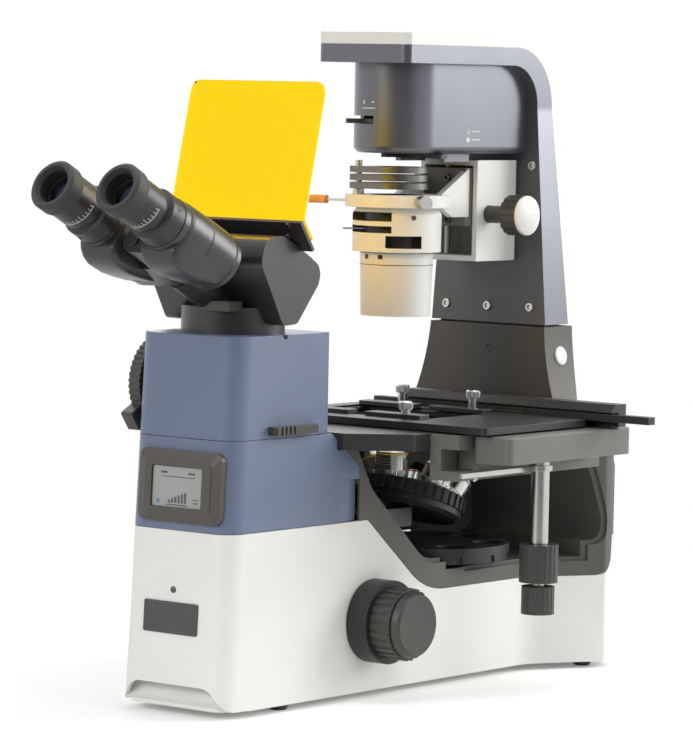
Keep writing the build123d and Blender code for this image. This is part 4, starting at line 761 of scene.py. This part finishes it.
# way along the tube, radius of the round and depth of the flat at each station
prismSet = {"stations": ((12.0, 15.0, -2.0), (13.5, 18.6, -1.0), (17.0, 20.4, 1.0), (30.0, 20.6, 4.5),
                         (42.0, 20.6, 7.0), (56.0, 20.4, 7.5), (62.0, 20.0, 5.5), (66.0, 19.6, 2.0),
                         (67.5, 18.4, -1.0)),
            "corner": 5.0, "reach": 11.0, "drop": 14.5, "inward": 2.0}
lensSet = {"at": 107.0, "count": 40,
           "form": ((10.6, -0.4), (10.6, 0.1), (9.01, 0.9), (6.36, 1.6), (3.18, 2.0), (0.53, 2.1))}
scaleSet = {"at": 98.0, "radius": 16.5, "ticks": 9, "first": -90.0, "step": 10.0, "half": 0.8, "middle": 4,
            "long": 4.2, "short": 2.6, "line": (-94.0, -6.0, -1.0, -0.4), "thick": 0.1, "tickSteps": 2,
            "lineSteps": 24}
ringScrewSet = {"at": 79.0, "reach": 18.5, "angles": (20.0, 140.0, 260.0), "radius": 1.7, "high": 0.5}
bracketScrewSet = {"at": ((47.1, 339.5), (42.5, 331.5)), "fromY": -260.0, "radius": 2.2, "high": 1.2}
bodyScrewSet = {"at": ((-13.9, 293.2), (2.3, 292.5)), "fromY": -224.0, "radius": 2.4, "high": 0.6}
keySet = {"place": (11.0, -218.6, 283.0), "wide": 28.0, "high": 7.0, "corner": 0.8, "thick": 0.4,
          "sunk": 14.0}


def tubePlace(side, along):
    axis = (0.0, -math.cos(headSet["tilt"]), math.sin(headSet["tilt"]))
    origin = (side * headSet["spread"], headSet["rearY"] + axis[1] * along,
              headSet["rearZ"] + axis[2] * along)
    return seat(origin, axis)


def makePrismBoxes():
    # prism box under each tube: round above, flat below, deeper toward the eyepiece
    for side, word in ((-1, "left"), (1, "right")):
        bm = bmesh.new()
        rings = []
        for along, radius, depth in prismSet["stations"]:
            low = -prismSet["drop"] - depth
            corners = [(-side * prismSet["inward"] + k * prismSet["reach"], low, prismSet["corner"])
                       for k in (-1, 1)]
            rings.append(hullRing([(0.0, 0.0, radius)] + corners, along))
        loftRings(bm, rings, tubePlace(side, 0.0))
        addPiece("prism_box_" + word, bm, [headCoat], "tube_" + word)


def makeEyepieces():
    for side, word in ((-1, "left"), (1, "right")):
        bm = bmesh.new()
        turnedForm(bm, lensSet["form"], tubePlace(side, lensSet["at"]), 0, lensSet["count"])
        addPiece("eye_lens_" + word, bm, [eyeGlass], "dioptre_" + word)

        # dioptre scale: white ticks round the eyepiece, the middle one longer, over a thin line
        bm = bmesh.new()
        scale = tubePlace(side, scaleSet["at"])
        for i in range(scaleSet["ticks"]):
            angle = scaleSet["first"] + scaleSet["step"] * i
            tall = scaleSet["long"] if i == scaleSet["middle"] else scaleSet["short"]
            arcStrip(bm, scaleSet["radius"], angle - scaleSet["half"], angle + scaleSet["half"], 0.0, tall,
                     scale, 0, scaleSet["thick"], scaleSet["tickSteps"])
        arcStrip(bm, scaleSet["radius"], *scaleSet["line"], scale, 0, scaleSet["thick"],
                 scaleSet["lineSteps"])
        addPiece("dioptre_scale_" + word, bm, [inkWhite], "dioptre_" + word)

        # three set screws round the eyepiece's ring
        bm = bmesh.new()
        ring = tubePlace(side, ringScrewSet["at"])
        for angle in ringScrewSet["angles"]:
            turn = math.radians(angle)
            out = (math.cos(turn), math.sin(turn), 0.0)
            normal = ring.to_3x3() @ Vector(out)
            origin = ring @ mm(*(ringScrewSet["reach"] * v for v in out))
            socketHead(bm, seat(origin * 1000.0, normal), ringScrewSet["radius"], ringScrewSet["high"])
        addPiece("eyepiece_screws_" + word, bm, [darkScrew], "dioptre_" + word)


def makeHeadMount():
    bm = bmesh.new()
    screwHeads(bm, "shield_bracket", bracketScrewSet, toRear)
    screwHeads(bm, "binocular_body", bodyScrewSet, toRear)
    addPiece("head_screws", bm, [darkScrew], "frame")
    bm = bmesh.new()
    roundedSlab(bm, seat(keySet["place"], toFront), keySet["wide"], keySet["high"], keySet["corner"],
                keySet["thick"], 0, keySet["sunk"])
    addPiece("mount_key", bm, [bezelAbs], "frame")


makePrismBoxes()
makeEyepieces()
makeHeadMount()
print("head pieces ready")


# nosepiece: knurled and banded objectives

noseSet = {"centre": (0.0, 23.680, 137.381), "tilt": math.radians(20.0), "circle": 25.2, "radius": 12.0,
           "lengths": (36.0, 31.0, 34.0, 27.0, 34.0), "bands": ("yellow", "green", "blue", "red", "yellow"),
           "bandAt": 0.56, "bandHigh": 1.2, "bandProud": 0.12, "bandSunk": 0.4, "bandCount": 64,
           "knurlLow": 5.0, "knurlHigh": 9.5,
           "knurl": {"teeth": 48, "tooth": 0.3, "proud": 0.25, "sunk": 0.5, "bevel": 0.3},
           # plain printed lines, as shares of the length
           "lines": (0.36, 0.42, 0.48), "lineHigh": 0.5, "lineFrom": -130.0, "lineTo": -60.0,
           "lineThick": 0.06, "lineSteps": 12}


def makeObjectives():
    bm = bmesh.new()
    nose = Matrix.Translation(mm(*noseSet["centre"])) @ Matrix.Rotation(-noseSet["tilt"], 4, "X")
    outward = Matrix.Translation(mm(0.0, -noseSet["circle"], 0.0)) @ Matrix.Rotation(noseSet["tilt"], 4, "X")
    names = list(bandInk)
    finishes = [chromeBarrel] + [bandInk[name] for name in names] + [inkGrey]
    radius = noseSet["radius"]
    root, proud = radius - noseSet["bandSunk"], radius + noseSet["bandProud"]
    for i, (length, band) in enumerate(zip(noseSet["lengths"], noseSet["bands"])):
        lens = nose @ Matrix.Rotation(2.0 * math.pi * i / len(noseSet["lengths"]), 4, "Z") @ outward
        low = length * noseSet["bandAt"]
        high = low + noseSet["bandHigh"]
        turnedForm(bm, ((root, low), (proud, low), (proud, high), (root, high)), lens,
                   1 + names.index(band), noseSet["bandCount"], False)
        knurledBand(bm, radius, noseSet["knurlLow"], noseSet["knurlHigh"], noseSet["knurl"], lens)
        for share in noseSet["lines"]:
            z = length * share
            arcStrip(bm, radius, noseSet["lineFrom"], noseSet["lineTo"], z, z + noseSet["lineHigh"], lens,
                     len(finishes) - 1, noseSet["lineThick"], noseSet["lineSteps"])
    addPiece("objective_bands", bm, finishes, "nosepiece")


makeObjectives()
print("nosepiece pieces ready")


# stage: drive strip, thumb screw knurls, rail pin and valley seal

stripSet = {"x": 122.0, "sunk": 1.2, "from": 8.0, "to": -78.0, "z": 164.0, "high": 4.0,
            "steps": ((0.0, 1.6, 0.0), (0.0, 1.6, 2.0), (0.6, 1.3, 2.4)), "nutY": -62.0,
            "nut": ((2.8, -0.5), (2.8, 1.4), (2.4, 1.8)), "bolt": ((1.3, 1.8), (1.2, 2.6))}
thumbSet = {"screws": ((-45.0, -43.0, 9.5), (45.0, -43.0, 9.5), (-25.0, 43.0, 13.2), (41.0, 43.0, 13.2)),
            "jawZ": 200.8, "radius": 5.0, "underTop": 0.8, "knurlHigh": 4.8,
            "knurl": {"teeth": 32, "tooth": 0.35, "proud": 0.3, "sunk": 0.6, "bevel": 0.4}}
pinSet = {"place": (154.0, 63.5, 199.6), "form": ((1.6, -0.4), (1.6, 0.9), (1.1, 1.3)),
          "socket": ((0.8, 1.3), (0.7, 0.5))}
sealSet = {"place": (-45.6, 45.0, 103.0), "long": 92.0, "high": 5.6, "corner": 1.0, "thick": 0.8, "sunk": 0.6}


def makeStage():
    bm = bmesh.new()
    length = stripSet["from"] - stripSet["to"]
    middle = (stripSet["from"] + stripSet["to"]) / 2
    strip = seat((stripSet["x"] - stripSet["sunk"], middle, stripSet["z"]), toRight)
    steppedPlate(bm, length, stripSet["high"], stripSet["steps"], strip)
    under = (stripSet["x"], stripSet["nutY"], stripSet["z"] - stripSet["high"] / 2)
    nut = [hexRing(*pair) for pair in stripSet["nut"]]
    bolt = [roundRing(*pair) for pair in stripSet["bolt"]]
    loftRings(bm, nut + bolt, seat(under, downward, toRear))
    addPiece("drive_strip", bm, [brushedSteel], "stage_y_carriage")

    # knurled rims of the four thumb screws
    bm = bmesh.new()
    for x, y, tall in thumbSet["screws"]:
        high = tall - thumbSet["underTop"]
        knurledBand(bm, thumbSet["radius"], high - thumbSet["knurlHigh"], high, thumbSet["knurl"],
                    seat((x, y, thumbSet["jawZ"]), upward, toRear))
    addPiece("thumb_knurls", bm, [brushedSteel], "stage_x_holder")

    # end pin of the cross rail
    bm = bmesh.new()
    pin = [roundRing(*pair) for pair in pinSet["form"]]
    socket = [hexRing(*pair) for pair in pinSet["socket"]]
    loftRings(bm, pin + socket, seat(pinSet["place"], toRight))
    addPiece("rail_pin", bm, [brushedSteel], "stage_y_carriage")

    # black seal strip above the filter disc, in the left slot of the valley
    bm = bmesh.new()
    roundedSlab(bm, seat(sealSet["place"], toRight), sealSet["long"], sealSet["high"], sealSet["corner"],
                sealSet["thick"], 0, sealSet["sunk"])
    addPiece("valley_seal", bm, [softRubber], "frame")


makeStage()
print("stage pieces ready")


# rear: rocker switch and cover screws

rearScrewSet = {"at": ((-55.0, 28.0), (55.0, 28.0), (-55.0, 150.0), (55.0, 150.0)), "fromY": 260.0,
                "radius": 3.2, "high": 1.6}
rockerSet = {"from": (16.0, 260.0, 45.0), "wide": 15.0, "high": 21.0,
             "steps": ((0.0, 1.5, -0.4), (0.0, 1.5, 1.2), (0.8, 1.2, 1.6), (3.4, 0.8, 1.6), (3.6, 0.8, 0.6)),
             # end, thickness and inner radius of the sign of each half
             "halves": ((1, 3.2, 0.3), (-1, 1.4, 1.1)), "halfAt": 4.1, "halfLift": 0.6, "halfTilt": 0.16,
             "halfWide": 11.0, "halfHigh": 8.3, "halfCorner": 0.6, "halfSunk": 0.4, "halfEdge": 0.5,
             "signRadius": 1.5, "signHalf": 0.1}


def makeRear():
    bm = bmesh.new()
    screwHeads(bm, "rear_panel", rearScrewSet, toFront)
    addPiece("rear_screws", bm, [darkScrew], "frame")
    bm = bmesh.new()
    place = seatOn("rear_panel", rockerSet["from"], toFront)
    steppedPlate(bm, rockerSet["wide"], rockerSet["high"], rockerSet["steps"], place)
    outer = rockerSet["signRadius"]
    for end, thick, inner in rockerSet["halves"]:
        half = (place @ Matrix.Translation(mm(0.0, end * rockerSet["halfAt"], rockerSet["halfLift"]))
                @ Matrix.Rotation(-end * rockerSet["halfTilt"], 4, "X"))
        roundedSlab(bm, half, rockerSet["halfWide"], rockerSet["halfHigh"], rockerSet["halfCorner"], thick, 0,
                    rockerSet["halfSunk"], rockerSet["halfEdge"])
        low, high = thick - rockerSet["signHalf"], thick + rockerSet["signHalf"]
        turnedForm(bm, ((outer, low), (outer, high), (inner, high), (inner, low)), half, 1, capped=False)
    addPiece("power_rocker", bm, [knobPlastic, inkWhite], "frame")


makeRear()
print("rear pieces ready")
